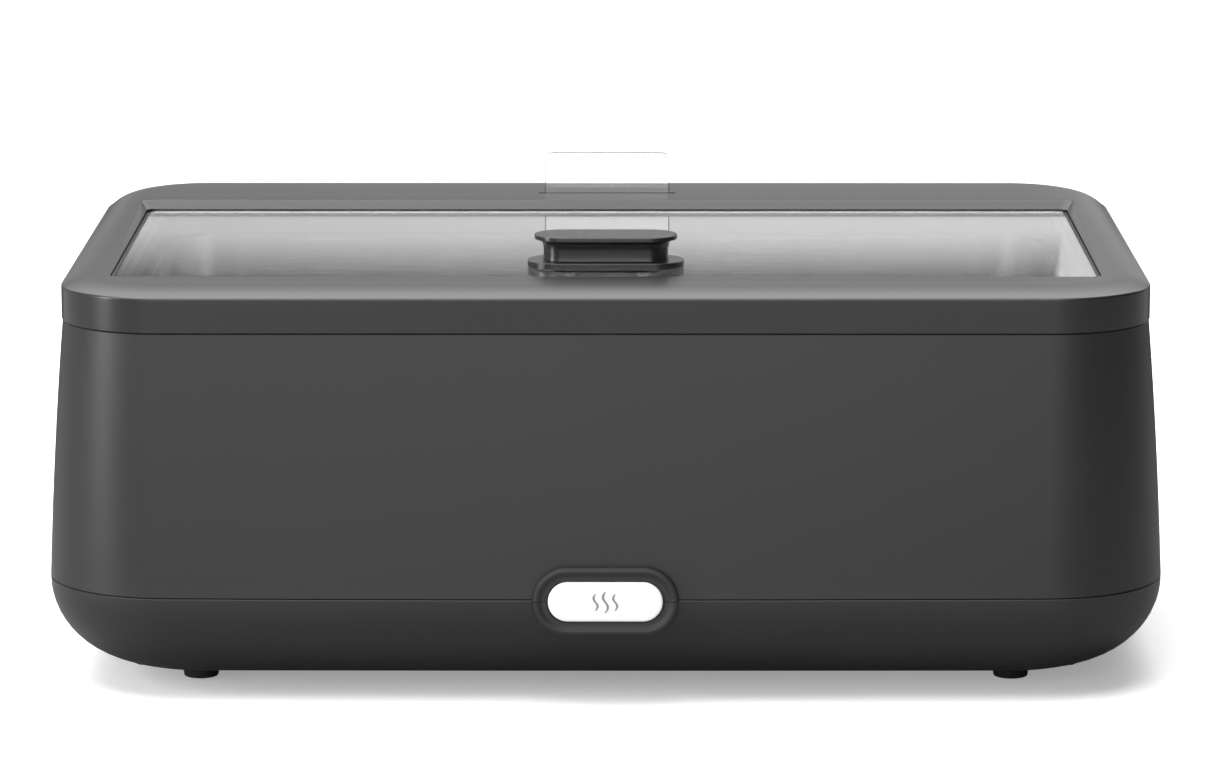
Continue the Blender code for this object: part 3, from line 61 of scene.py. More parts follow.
LID_HALF_X, LID_HALF_Y = LID_HIGH.x, LID_HIGH.y
LID_CORNER = 56 * MM
SEAM_Z = LID_LOW.z            # upper seam, under the lid's skirt
CREST_Z = 228 * MM            # top of the lid's plateau at its rear
SKIRT_TOP_Z = SEAM_Z + 19.1 * MM
SKIRT_ROUND = 1.5 * MM
FRONT_Z = SEAM_Z + 22 * MM    # lid's top beside the front of the window
PLATEAU_SIDE, PLATEAU_FRONT, PLATEAU_REAR = 20 * MM, 38 * MM, 22 * MM
PLATEAU_CORNER = 36 * MM
SHOULDER = 2.3                # fullness of the rounded shoulder
COLLAR = 2.5 * MM             # wall round the window
COLLAR_LOW_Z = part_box("glass_pane")[1].z - 5.5 * MM
WINDOW_HALF_X = LID_HALF_X - 26 * MM
WINDOW_FRONT_Y = -LID_HALF_Y + 53.6 * MM
WINDOW_REAR_Y = LID_HALF_Y - 88.7 * MM
WINDOW_Y = (WINDOW_FRONT_Y + WINDOW_REAR_Y) / 2
WINDOW_HALF_Y = (WINDOW_REAR_Y - WINDOW_FRONT_Y) / 2
WINDOW_CORNER = 5 * MM
WINDOW_LIP = 0.45 * MM        # rounding of the window's upper edge
RIM_RISE = 0.6 * MM           # how much higher the window's rim stands at its rear
WINDOW_SLOPE = 8.6 * MM       # width of the sloping margin behind the window
WINDOW_MARGIN = 1.2 * MM      # its width in front
SLOT_HALF_X, SLOT_HALF_Y = 40 * MM, 1.3 * MM
SLOT_DEPTH = 10 * MM          # the label holder's slot

LOWER_SEAM_Z = (BADGE_LOW.z + BADGE_HIGH.z) / 2
SHELL_TOP_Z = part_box("body_shell")[1].z
BELLY_HALF_X, BELLY_HALF_Y, BELLY_CORNER = 301.5 * MM, 199 * MM, 67 * MM
SHELL_HALF_X, SHELL_HALF_Y = LID_HALF_X - 0.5 * MM, LID_HALF_Y - 0.5 * MM
CROWN = 0.8 * MM
FRONT_BOW = 4 * MM            # outward bow of front and rear at the lower seam
SEAM_GAP = 0.15 * MM          # half of the gap along the lower seam
DECK_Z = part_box("water_pan")[1].z - 1.3 * MM
DECK_HALF_X, DECK_HALF_Y, DECK_CORNER = 259 * MM, 156.5 * MM, 50 * MM
UNDERCUT, UNDER_CORNER = 55 * MM, 34 * MM
TRAY_FLOOR_Z = 8.5 * MM
SHELL_LEVELS, TRAY_STEPS = 10, 16
THREAD = 0.7                  # pitch of the screws' thread, in millimetres
POSTS = [(sx * 250 * MM, sy * 148 * MM) for sx in (-1, 1) for sy in (-1, 1)]

BOSS_HALF_X, BOSS_HALF_Z = 38.85 * MM, 18.5 * MM
BOSS_FACE_Y = -204 * MM
LABEL_LOW, LABEL_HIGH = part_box("label_holder")
LABEL_Y = (LABEL_LOW.y + LABEL_HIGH.y) / 2
HANDLE_LOW, HANDLE_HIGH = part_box("handle_grip")
HANDLE_Y = (HANDLE_LOW.y + HANDLE_HIGH.y) / 2
KNOB_LOW, KNOB_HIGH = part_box("thermostat_knob")
KNOB_POINTS, KNOB_FLUTES, DIAL_TICKS = 144, 24, 10
KNOB_X, KNOB_Z = (KNOB_LOW.x + KNOB_HIGH.x) / 2, (KNOB_LOW.z + KNOB_HIGH.z) / 2
PANEL_LOW, PANEL_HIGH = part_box("control_panel")
HOLE_HALF_X, HOLE_HALF_Z = 75.3 * MM, 26.3 * MM    # the casing's opening for the panel
FLANGE_LENGTH, FLANGE_WIDTH = 85 * MM, 34 * MM
NECK_LENGTH, NECK_WIDTH = 67.6 * MM, 22 * MM
CAP_LENGTH, CAP_WIDTH, CAP_HEIGHT = 77.5 * MM, 32 * MM, 2.5 * MM
HANDLE_STEPS = 20
SHEET = 1 * MM                # the pans' steel
PAN_DRAFT, PAN_FLOOR_ROUND, PAN_LIP = 4 * MM, 12 * MM, 2.2 * MM

# ---- light -------------------------------------------------------
FLOOR_BOUNCE = 0.36           # how much of its light the floor throws back on the warmer
FLOOR_LIFT = 0.30             # keeps the floor white to the camera
FLAG_X, FLAG_HEIGHT = 0.50, 0.24
CARD_Y, CARD_LOW_Z, CARD_TOP_Z = 1.0, 0.27, 1.15
CARD_BRIGHT_Z, CARD_DIM_Z = 0.374, 0.413
CARD_BRIGHT, CARD_DIM = 1.02, 0.14
CARD_RISE_Z, CARD_FULL_Z, CARD_FULL = 0.54, 0.86, 2.3
CARD_WIDTH, CARD_EDGE_X = 3.2, 0.333    # right of this edge the card stays bright
WORLD_LEFT, WORLD_RIGHT, WORLD_SEEN = 0.60, 0.04, 1.1
CAMERA_LENS, CAMERA_PLACE, CAMERA_AIM = 159.51, (0.0097, -3.0240, 0.6988), (0.0048, 0.0, 0.1356)


# ---- shader effects ----------------------------------------------
def effect(name, inputs, outputs):
    """An empty shader group with named sockets, and its two end nodes."""
    group = bpy.data.node_groups.new(name, "ShaderNodeTree")
    kinds = {"vector": "NodeSocketVector", "value": "NodeSocketFloat", "color": "NodeSocketColor"}
    for label, kind, value in inputs:
        socket = group.interface.new_socket(label, in_out="INPUT", socket_type=kinds[kind])
        if value is not None:
            socket.default_value = value
    for label, kind in outputs:
        group.interface.new_socket(label, in_out="OUTPUT", socket_type=kinds[kind])
    return group, group.nodes.new("NodeGroupInput"), group.nodes.new("NodeGroupOutput")


def feed(tree, value, socket):
    """Set a socket to a fixed value, or link it to another socket."""
    if isinstance(value, bpy.types.NodeSocket):
        tree.links.new(value, socket)
    else:
        socket.default_value = value


def node_out(tree, kind, output, inputs, **settings):
    """The output of a new shader node whose inputs are fixed or linked."""
    node = tree.nodes.new("ShaderNode" + kind)
    for label, value in settings.items():
        setattr(node, label, value)
    for label, value in inputs.items():
        feed(tree, value, node.inputs[label])
    return node.outputs[output]


def noise(tree, vector, scale, detail=3.0, roughness=0.55):
    return node_out(tree, "TexNoise", "Fac",
                    {"Vector": vector, "Scale": scale, "Detail": detail, "Roughness": roughness})


def span(tree, value, low, high, to_low, to_high):
    """A value's range moved to another one, held at its ends."""
    return node_out(tree, "MapRange", "Result", {"Value": value, "From Min": low, "From Max": high,
                                                 "To Min": to_low, "To Max": to_high})


def sum_of(tree, first, second, operation="ADD"):
    return node_out(tree, "Math", "Value", {0: first, 1: second}, operation=operation)


def product(tree, first, second):
    return sum_of(tree, first, second, "MULTIPLY")


def blend(tree, factor, first, second):
    return node_out(tree, "Mix", "Result", {"Factor": factor, "A": first, "B": second}, data_type="RGBA")


def stretched(tree, vector, scale):
    return node_out(tree, "Mapping", "Vector", {"Vector": vector, "Scale": scale})


def bumped(tree, height, strength, distance):
    return node_out(tree, "Bump", "Normal", {"Height": height, "Strength": strength, "Distance": distance})


def make_mould_grain():
    """The fine spark-eroded grain of a plastic moulding."""
    group, start, end = effect("mould_grain",
                               [("Vector", "vector", None), ("Scale", "value", 900.0),
                                ("Depth", "value", 0.1)], [("Normal", "vector"), ("Grain", "value")])
    vector, scale, depth = (start.outputs[label] for label in ("Vector", "Scale", "Depth"))
    cells = node_out(group, "TexVoronoi", "Distance", {"Vector": vector, "Scale": scale},
                     feature="SMOOTH_F1")
    grain = sum_of(group, cells, noise(group, vector, product(group, scale, 0.45), 4.0, 0.5))
    feed(group, bumped(group, grain, depth, 0.1 * MM), end.inputs["Normal"])
    feed(group, grain, end.inputs["Grain"])
    return group


def make_handling():
    """Slow unevenness of tone and gloss, with faint smears where hands and cloths pass."""
    group, start, end = effect("handling",
                               [("Vector", "vector", None), ("Colour", "color", None),
                                ("Worn Colour", "color", None), ("Smooth", "value", 0.35),
                                ("Dull", "value", 0.45)],
                               [("Colour", "color"), ("Roughness", "value")])
    vector = start.outputs["Vector"]
    slow = noise(group, vector, 9.0, 2.0)
    smear = noise(group, stretched(group, vector, (12.0, 45.0, 45.0)), 1.0, 4.0, 0.6)
    patch = sum_of(group, span(group, slow, 0.35, 0.7, 0.0, 0.6), span(group, smear, 0.4, 0.75, 0.0, 0.4))
    feed(group, blend(group, patch, start.outputs["Colour"], start.outputs["Worn Colour"]),
         end.inputs["Colour"])
    feed(group, span(group, patch, 0.0, 1.0, start.outputs["Smooth"], start.outputs["Dull"]),
         end.inputs["Roughness"])
    return group


def make_edge_wear():
    """Where a corner stands proud and is rubbed paler."""
    group, start, end = effect("edge_wear", [("Vector", "vector", None), ("Amount", "value", 0.3)],
                               [("Mask", "value")])
    proud = span(group, node_out(group, "NewGeometry", "Pointiness", {}), 0.53, 0.62, 0.0, 1.0)
    broken = span(group, noise(group, start.outputs["Vector"], 160.0, 5.0, 0.7), 0.35, 0.65, 0.2, 1.0)
    feed(group, product(group, product(group, proud, broken), start.outputs["Amount"]), end.inputs["Mask"])
    return group


def make_brushing():
    """Fine parallel lines left by rolling or brushing, running along X before any mapping."""
    group, start, end = effect("brushing",
                               [("Vector", "vector", None), ("Smooth", "value", 0.2),
                                ("Dull", "value", 0.34), ("Depth", "value", 0.08),
                                ("Light", "color", None), ("Dark", "color", None)],
                               [("Colour", "color"), ("Roughness", "value"), ("Normal", "vector")])
    vector = start.outputs["Vector"]
    lines = noise(group, stretched(group, vector, (14.0, 2200.0, 2200.0)), 1.0, 3.0, 0.6)
    cloud = noise(group, vector, 14.0, 3.0, 0.5)
    both = sum_of(group, product(group, lines, 0.6), product(group, cloud, 0.4))
    feed(group, blend(group, span(group, both, 0.3, 0.7, 0.0, 1.0), start.outputs["Dark"],
                      start.outputs["Light"]), end.inputs["Colour"])
    feed(group, span(group, both, 0.3, 0.7, start.outputs["Smooth"], start.outputs["Dull"]),
         end.inputs["Roughness"])
    feed(group, bumped(group, lines, start.outputs["Depth"], 0.05 * MM), end.inputs["Normal"])
    return group


MOULD_GRAIN = make_mould_grain()
HANDLING = make_handling()
EDGE_WEAR = make_edge_wear()
BRUSHING = make_brushing()


# ---- materials ---------------------------------------------------
def new_material(name, **constants):
    """A material with a Principled shader, its fixed values set on the shader itself."""
    material = bpy.data.materials.new(name)
    material.use_nodes = True
    shader = material.node_tree.nodes["Principled BSDF"]
    for label, value in constants.items():
        shader.inputs[label.replace("_", " ")].default_value = value
    place = material.node_tree.nodes.new("ShaderNodeTexCoord")
    return material, material.node_tree, shader, place.outputs["Object"]


def placed(tree, group, vector, **values):
    """An effect's outputs in a material, with this material's own values."""
    node = tree.nodes.new("ShaderNodeGroup")
    node.node_tree = group
    tree.links.new(vector, node.inputs["Vector"])
    for label, value in values.items():
        node.inputs[label.replace("_", " ")].default_value = value
    return node.outputs


def grey(level, warm=0.0):
    """A grey, a little reddish or bluish."""
    return (level * (1 + warm), level, level * (1 - warm), 1.0)


def moulded(name, colour, worn, smooth, dull, grain_scale, grain_depth, wear=0.25, specular=0.5):
    """A moulded plastic: grain, uneven gloss and edges rubbed a little paler."""
    material, tree, shader, vector = new_material(name, Specular_IOR_Level=specular)
    surface = placed(tree, HANDLING, vector, Colour=colour, Worn_Colour=worn, Smooth=smooth, Dull=dull)
    rubbed = placed(tree, EDGE_WEAR, vector, Amount=wear)
    paler = tuple(min(1.0, channel * 2.6 + 0.01) for channel in worn[:3]) + (1.0,)
    feed(tree, blend(tree, rubbed["Mask"], surface["Colour"], paler), shader.inputs["Base Color"])
    feed(tree, surface["Roughness"], shader.inputs["Roughness"])
    grain = placed(tree, MOULD_GRAIN, vector, Scale=grain_scale, Depth=grain_depth)
    feed(tree, grain["Normal"], shader.inputs["Normal"])
    return material


def metal(name, light, dark, smooth, dull, depth):
    """A metal with the lines of its rolling or brushing."""
    material, tree, shader, vector = new_material(name, Metallic=1.0)
    surface = placed(tree, BRUSHING, vector, Light=light, Dark=dark, Smooth=smooth, Dull=dull, Depth=depth)
    for output, target in (("Colour", "Base Color"), ("Roughness", "Roughness"), ("Normal", "Normal")):
        feed(tree, surface[output], shader.inputs[target])
    return material


def clear(name, tint, ior, smooth, dull):
    """A clear sheet, with the faint film that wiping leaves."""
    material, tree, shader, vector = new_material(name, Base_Color=tint, IOR=ior, Transmission_Weight=1.0)
    film = noise(tree, vector, 22.0, 5.0, 0.62)
    feed(tree, span(tree, film, 0.4, 0.75, smooth, dull), shader.inputs["Roughness"])
    return material


# Plastics: colour, worn colour, roughness where smooth and where dull, grain scale and depth, then
# how far edges are rubbed and the specular level where they differ from the usual.
CASING = moulded("casing_plastic", grey(0.0126), grey(0.0150), 0.42, 0.47, 1500.0, 0.10)
LID_PLASTIC = moulded("lid_plastic", grey(0.0150), grey(0.0170), 0.28, 0.292, 1500.0, 0.012)
HANDLE_PLASTIC = moulded("handle_plastic", grey(0.0110), grey(0.0140), 0.24, 0.30, 1800.0, 0.05)
FITTING_PLASTIC = moulded("fitting_plastic", grey(0.0105), grey(0.0140), 0.34, 0.44, 1700.0, 0.08)
RUBBER = moulded("rubber", grey(0.0130), grey(0.0220), 0.62, 0.78, 1100.0, 0.22, 0.15, 0.35)
BADGE_WHITE = moulded("badge_white", grey(0.92), grey(0.89), 0.22, 0.32, 1400.0, 0.03, 0.0)
PRINT_GREY = moulded("print_grey", grey(0.22), grey(0.27), 0.35, 0.45, 1900.0, 0.05, 0.0)
PRINT_WHITE = moulded("print_white", grey(0.62), grey(0.56), 0.40, 0.52, 1900.0, 0.05, 0.0)
# Metals: light and dark colour, roughness where smooth and where dull, depth of the lines.
STEEL = metal("stainless", grey(0.66, 0.01), grey(0.55, 0.015), 0.20, 0.30, 0.05)
ALUMINIUM = metal("aluminium", grey(0.76), grey(0.64), 0.30, 0.46, 0.20)
ZINC = metal("zinc_plated", grey(0.60, -0.01), grey(0.46, 0.01), 0.28, 0.46, 0.15)
# Clear sheets: tint, refractive index, roughness where clean and where filmed.
GLASS = clear("lid_glass", (0.97, 0.985, 0.98, 1.0), 1.52, 0.0, 0.008)
ACRYLIC = clear("clear_acrylic", (0.975, 0.98, 0.98, 1.0), 1.49, 0.01, 0.05)
# The label plate's rim: the same clear acrylic tinted darker, painted shade for the grey look of a clear
# edge.
ACRYLIC_RIM_SHADE = clear("clear_acrylic_rim_shade", (0.42, 0.44, 0.44, 1.0), 1.49, 0.08, 0.20)


def make_amber():
    """The pilot lamp's lens."""
    material, tree, shader, vector = new_material("amber_lens", IOR=1.49, Transmission_Weight=0.75)
    feed(tree, blend(tree, noise(tree, vector, 420.0, 2.0), (0.95, 0.30, 0.03, 1.0),
                     (0.80, 0.18, 0.02, 1.0)), shader.inputs["Base Color"])
    film = noise(tree, vector, 160.0, 3.0)
    feed(tree, span(tree, film, 0.35, 0.7, 0.08, 0.22), shader.inputs["Roughness"])
    return material


def make_wool():
    """Needled mineral fibre."""
    material, tree, shader, vector = new_material("insulation_wool", Specular_IOR_Level=0.2)
    fibre = noise(tree, stretched(tree, vector, (300.0, 900.0, 900.0)), 1.0, 6.0, 0.7)
    feed(tree, blend(tree, fibre, (0.42, 0.40, 0.34, 1.0), (0.72, 0.70, 0.62, 1.0)),
         shader.inputs["Base Color"])
    feed(tree, span(tree, fibre, 0.3, 0.7, 0.8, 1.0), shader.inputs["Roughness"])
    feed(tree, bumped(tree, fibre, 0.6, MM), shader.inputs["Normal"])
    return material


def wire_sleeve(name, colour, worn):
    return moulded(name, colour, worn, 0.34, 0.46, 2600.0, 0.06, 0.0)


AMBER = make_amber()
WOOL = make_wool()
WIRE_BROWN = wire_sleeve("wire_brown", (0.15, 0.055, 0.022, 1.0), (0.20, 0.075, 0.032, 1.0))
WIRE_BLUE = wire_sleeve("wire_blue", (0.03, 0.12, 0.42, 1.0), (0.045, 0.16, 0.50, 1.0))
WIRE_GREEN = wire_sleeve("wire_green", (0.10, 0.34, 0.05, 1.0), (0.62, 0.58, 0.06, 1.0))


# ---- mesh helpers ------------------------------------------------
def rounded_outline(half_x, half_y, radius, centre_y=0.0, bow=0.0, side_steps=SIDE_STEPS):
    """Points round a rounded rectangle, always as many and in the same order."""
    straight = half_y - bow
    radius = max(min(radius, straight, half_x), 0.02 * MM)
    corners = []
    for turn, (side_x, side_y) in enumerate(((1, 1), (-1, 1), (-1, -1), (1, -1))):
        middle = Vector((side_x * (half_x - radius), side_y * (straight - radius)))
        for step in range(CORNER_STEPS + 1):
            angle = math.radians(90 * (turn + step / CORNER_STEPS))
            corners.append(middle + radius * Vector((math.cos(angle), math.sin(angle))))
    points = []
    for place, point in enumerate(corners):
        points.append(point)
        if place % (CORNER_STEPS + 1) == CORNER_STEPS:
            following = corners[(place + 1) % len(corners)]
            for step in range(1, side_steps):
                points.append(point.lerp(following, step / side_steps))
    return [Vector((p.x, p.y * (1 + bow * (1 - (p.x / half_x) ** 2) / straight) + centre_y))
            for p in points]


def ring_at(outline, z):
    """An outline lifted to a height, which may depend on y."""
    return [Vector((p.x, p.y, z(p.y) if callable(z) else z)) for p in outline]


def oval(half_x, half_z, radius, y, middle_z, side_steps=6):
    """An upright rounded outline that faces along y."""
    return [Vector((p.x, y, middle_z + p.y)) for p in
            rounded_outline(half_x, half_z, radius, side_steps=side_steps)]


def middle_of(node):
    """The middle of a CAD node's box, with the box's two corners."""
    low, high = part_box(node)
    return (low + high) / 2, low, high


def skin(sections, closed=False):
    """A surface through rings of equally many points, each ring extruded from the one before.

    Its ends are capped, or joined where the last ring lies on the first.
    """
    mesh = bmesh.new()
    corners = [mesh.verts.new(point) for point in sections[0]]
    edges = [mesh.edges.new(pair) for pair in zip(corners, corners[1:] + corners[:1])]
    first = edges
    for section in sections[1:]:
        grown = bmesh.ops.extrude_edge_only(mesh, edges=edges)["geom"]
        fresh = {item for item in grown if isinstance(item, bmesh.types.BMVert)}
        twins = []
        for corner, point in zip(corners, section):
            twin = next(e.other_vert(corner) for e in corner.link_edges if e.other_vert(corner) in fresh)
            twin.co = point
            twins.append(twin)
        corners = twins
        edges = [e for e in grown if isinstance(e, bmesh.types.BMEdge) and set(e.verts) <= fresh]
    if closed:
        bmesh.ops.remove_doubles(mesh, verts=mesh.verts, dist=0.001 * MM)
    else:
        bmesh.ops.contextual_create(mesh, geom=first)
        bmesh.ops.contextual_create(mesh, geom=edges)
    bmesh.ops.recalc_face_normals(mesh, faces=mesh.faces)
    return mesh


def arc(start, end, steps=4):
    """Shares of a quarter round between two (inset, height) corners, leaving the first upright."""
    result = []
    for step in range(steps + 1):
        angle = math.radians(90 * step / steps)
        result.append((start[0] + (end[0] - start[0]) * (1 - math.cos(angle)),
                       start[1] + (end[1] - start[1]) * math.sin(angle)))
    return result


def turned(profile, centre, axis, steps=48):
    """A solid of revolution: (radius, along) points spun about an axis through the centre."""
    axis = Vector(axis).normalized()
    across = axis.orthogonal().normalized()
    mesh = bmesh.new()
    points = [Vector(centre) + across * radius + axis * along for radius, along in profile]
    corners = [mesh.verts.new(point) for point in points]
    edges = [mesh.edges.new(pair) for pair in zip(corners, corners[1:])]
    bmesh.ops.spin(mesh, geom=corners + edges, cent=centre, axis=axis, angle=math.tau, steps=steps,
                   use_merge=True, dvec=(0, 0, 0))
    bmesh.ops.remove_doubles(mesh, verts=mesh.verts, dist=0.005 * MM)
    bmesh.ops.recalc_face_normals(mesh, faces=mesh.faces)
    return mesh


def upright_turned(profile, x, y, steps):
    """A solid of revolution on an upright axis, from (radius, height) points in millimetres."""
    return turned([(radius * MM, z * MM) for radius, z in profile], (x, y, 0), (0, 0, 1), steps)


def brick(low, high, bevel=0.0, segments=2):
    """A box between two corners with its edges rounded."""
    low, high = Vector(low), Vector(high)
    mesh = bmesh.new()
    bmesh.ops.create_cube(mesh, size=1.0)
    bmesh.ops.scale(mesh, vec=high - low, verts=mesh.verts)
    bmesh.ops.translate(mesh, vec=(low + high) / 2, verts=mesh.verts)
    if bevel:
        bmesh.ops.bevel(mesh, geom=mesh.edges[:], offset=bevel, offset_type="OFFSET", segments=segments,
                        profile=0.5, affect="EDGES", clamp_overlap=True, material=-1)
    return mesh


def add(mesh, other):
    """Put one mesh's shells in with another's."""
    spare = bpy.data.meshes.new("spare")
    other.to_mesh(spare)
    other.free()
    mesh.from_mesh(spare)
    bpy.data.meshes.remove(spare)
    return mesh


def as_object(mesh, name):
    """A mesh made into an object of the scene."""
    data = bpy.data.meshes.new(name)
    mesh.to_mesh(data)
    mesh.free()
    thing = bpy.data.objects.new(name, data)
    bpy.context.scene.collection.objects.link(thing)
    return thing


def carve(mesh, cutters, name):
    """Take cutter solids out of a mesh with exact Booleans and give the mesh back."""
    thing = as_object(mesh, name + "_blank")
    tools = [as_object(cutter, name + "_cutter") for cutter in cutters]
    for tool in tools:
        step = thing.modifiers.new("cut", "BOOLEAN")
        step.operation = "DIFFERENCE"
        step.solver = "EXACT"
        step.object = tool
    shape = thing.evaluated_get(bpy.context.evaluated_depsgraph_get())
    result = bmesh.new()
    result.from_mesh(shape.to_mesh())
    shape.to_mesh_clear()
    for item in (thing, *tools):
        data = item.data
        bpy.data.objects.remove(item)
        bpy.data.meshes.remove(data)
    bmesh.ops.remove_doubles(result, verts=result.verts, dist=0.002 * MM)
    return result


def finished(mesh, name, material, body, slot, *nodes, crease=35):
    """Turn a mesh into a named piece that rides on its body in place of its CAD nodes."""
    thing = as_object(mesh, name)
    thing.data.materials.append(material)
    thing.data.shade_smooth()
    thing.data.set_sharp_from_angle(angle=math.radians(crease))
    even = thing.modifiers.new("even_shading", "WEIGHTED_NORMAL")
    even.keep_sharp = True
    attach(thing, body)
    if nodes:
        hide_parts(*nodes)
    return thing


def refined(node, bevel, material, body, slot, segments=2):
    """A CAD node's shape with its flat facets merged and its edges rounded."""
    mesh = bmesh.new()
    mesh.from_mesh(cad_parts[node].data)
    bmesh.ops.remove_doubles(mesh, verts=mesh.verts, dist=0.01 * MM)
    bmesh.ops.dissolve_limit(mesh, angle_limit=math.radians(1), verts=mesh.verts, edges=mesh.edges)
    sharp = [e for e in mesh.edges if e.is_manifold and e.calc_face_angle(0.0) > math.radians(40)]
    bmesh.ops.bevel(mesh, geom=sharp, offset=bevel, offset_type="OFFSET", segments=segments, profile=0.5,
                    affect="EDGES", clamp_overlap=True, material=-1)
    finished(mesh, node + "_finished", material, body, slot, node)


# ---- lid ---------------------------------------------------------
def lid_top(y):
    """Height of the lid's top, which rises towards the rear."""
    rear = LID_HALF_Y - PLATEAU_REAR
    return FRONT_Z + (CREST_Z - FRONT_Z) * (y - WINDOW_FRONT_Y) / (rear - WINDOW_FRONT_Y)


def skirt(inset):
    """The lid's upright rim."""
    return rounded_outline(LID_HALF_X - inset, LID_HALF_Y - inset, LID_CORNER - inset)


def plateau(inset=0.0):
    """The line where the rounded shoulder runs out into the lid's flat top."""
    front, rear = -LID_HALF_Y + PLATEAU_FRONT, LID_HALF_Y - PLATEAU_REAR
    return rounded_outline(LID_HALF_X - PLATEAU_SIDE - inset, (rear - front) / 2 - inset,
                           PLATEAU_CORNER, (front + rear) / 2)


def window(grow):
    """The opening over the glass."""
    return rounded_outline(WINDOW_HALF_X + grow, WINDOW_HALF_Y + grow, WINDOW_CORNER + grow, WINDOW_Y)


def rim_z(y):
    """Height of the window's rim, which the lid's top slopes down to."""
    return FRONT_Z + RIM_RISE * (y - WINDOW_FRONT_Y) / (WINDOW_REAR_Y - WINDOW_FRONT_Y)


def slope_edge(grow):
    """The upper edge of the sloping margin: far out at the rear, at 45 degrees on the sides."""
    line = rounded_outline(WINDOW_HALF_X + grow, WINDOW_HALF_Y + (WINDOW_SLOPE + WINDOW_MARGIN) / 2 + grow,
                           WINDOW_CORNER + WINDOW_MARGIN, WINDOW_Y + (WINDOW_SLOPE - WINDOW_MARGIN) / 2)
    return [Vector((p.x * (1 + (WINDOW_LIP + max(0.0, lid_top(p.y) - rim_z(p.y))) / WINDOW_HALF_X), p.y))
            for p in line]


def between(a, b, share, z):
    return Vector((a.x + (b.x - a.x) * share, a.y + (b.y - a.y) * share, z))


def crown_rings(lower, upper, low_z, steps):
    """Rings over the lid's rounded shoulder, from the top of the skirt to the plateau."""
    rings = []
    for share in (step / steps for step in range(1, steps + 1)):
        lift = 1 - (1 - share) ** SHOULDER
        rings.append([between(a, b, share, low_z + (lid_top(b.y) - low_z) * lift)
                      for a, b in zip(lower, upper)])
    return rings


def flat_rings(lower, upper, drop, steps):
    """Rings across the flat of the lid, at the height of its sloping top."""
    rings = []
    for step in range(1, steps + 1):
        line = [a.lerp(b, step / steps) for a, b in zip(lower, upper)]
        rings.append(ring_at(line, lambda y: lid_top(y) - drop))
    return rings


def label_slot():
    """What the label holder's slot takes out of the lid."""
    return brick((-SLOT_HALF_X, LABEL_Y - SLOT_HALF_Y, lid_top(LABEL_Y) - SLOT_DEPTH),
                 (SLOT_HALF_X, LABEL_Y + SLOT_HALF_Y, CREST_Z + 5 * MM))


def make_lid():
    """One skin: up the skirt, over the shoulder, down the window's margin and back underneath."""
    rings = [ring_at(skirt(EDGE_BREAK), SEAM_Z), ring_at(skirt(0), SEAM_Z + EDGE_BREAK),
             ring_at(skirt(0), (SEAM_Z + SKIRT_TOP_Z) / 2)]
    rings += [ring_at(skirt(inset), z) for inset, z in
              arc((0, SKIRT_TOP_Z - SKIRT_ROUND), (SKIRT_ROUND, SKIRT_TOP_Z), 5)]
    rings += crown_rings(skirt(SKIRT_ROUND), plateau(), SKIRT_TOP_Z, 12)
    rings += flat_rings(plateau(), slope_edge(0.4 * MM), 0.0, 5)
    slope_top = slope_edge(0.0)
    slope_foot = window(WINDOW_LIP)
    for share in (0.03, 0.25, 0.5, 0.75, 1.0):
        rings.append([between(a, b, share, lid_top(a.y) + (rim_z(b.y) - lid_top(a.y)) * share)
                      for a, b in zip(slope_top, slope_foot)])
    rings += [ring_at(window(WINDOW_LIP * (1 - math.sin(turn))),
                      lambda y, turn=turn: rim_z(y) - WINDOW_LIP * (1 - math.cos(turn)))
              for turn in (math.pi / 8, math.pi / 4, 3 * math.pi / 8, math.pi / 2)]
    rings += [ring_at(window(0), COLLAR_LOW_Z + EDGE_BREAK), ring_at(window(EDGE_BREAK), COLLAR_LOW_Z),
              ring_at(window(COLLAR), COLLAR_LOW_Z), ring_at(window(COLLAR), FRONT_Z - WALL),
              ring_at(slope_edge(WALL), lambda y: lid_top(y) - WALL)]
    rings += flat_rings(slope_edge(WALL), plateau(WALL), WALL, 2)
    rings += [ring_at(skirt(WALL + SKIRT_ROUND), SKIRT_TOP_Z - WALL), ring_at(skirt(WALL), SEAM_Z)]
    lid = skin(rings + rings[:1], closed=True)
    lid = carve(lid, [label_slot()], "lid")
    top = lid_top(LABEL_Y)
    socket = brick((-SLOT_HALF_X - WALL, LABEL_Y - SLOT_HALF_Y - WALL, top - SLOT_DEPTH - WALL / 2),
                   (SLOT_HALF_X + WALL, LABEL_Y + SLOT_HALF_Y + WALL, top - 1.2 * MM), 0.4 * MM)
    add(lid, carve(socket, [label_slot()], "socket"))
    finished(lid, "lid_cover", LID_PLASTIC, "lid", "casing_plastic", "lid_frame")


def make_glass():
    """The pane, with ground edges."""
    middle, low, high = middle_of("glass_pane")
    rings = []
    for inset, z in ((0.6 * MM, low.z), (0.0, low.z + 0.6 * MM), (0.0, high.z - 0.3 * MM),
                     (0.1 * MM, high.z - 0.1 * MM), (0.3 * MM, high.z)):
        rings.append(ring_at(rounded_outline((high.x - low.x) / 2 - inset, (high.y - low.y) / 2 - inset,
                                             3 * MM - inset, middle.y), z))
    finished(skin(rings), "lid_window", GLASS, "lid", "lid_glass", "glass_pane", crease=20)


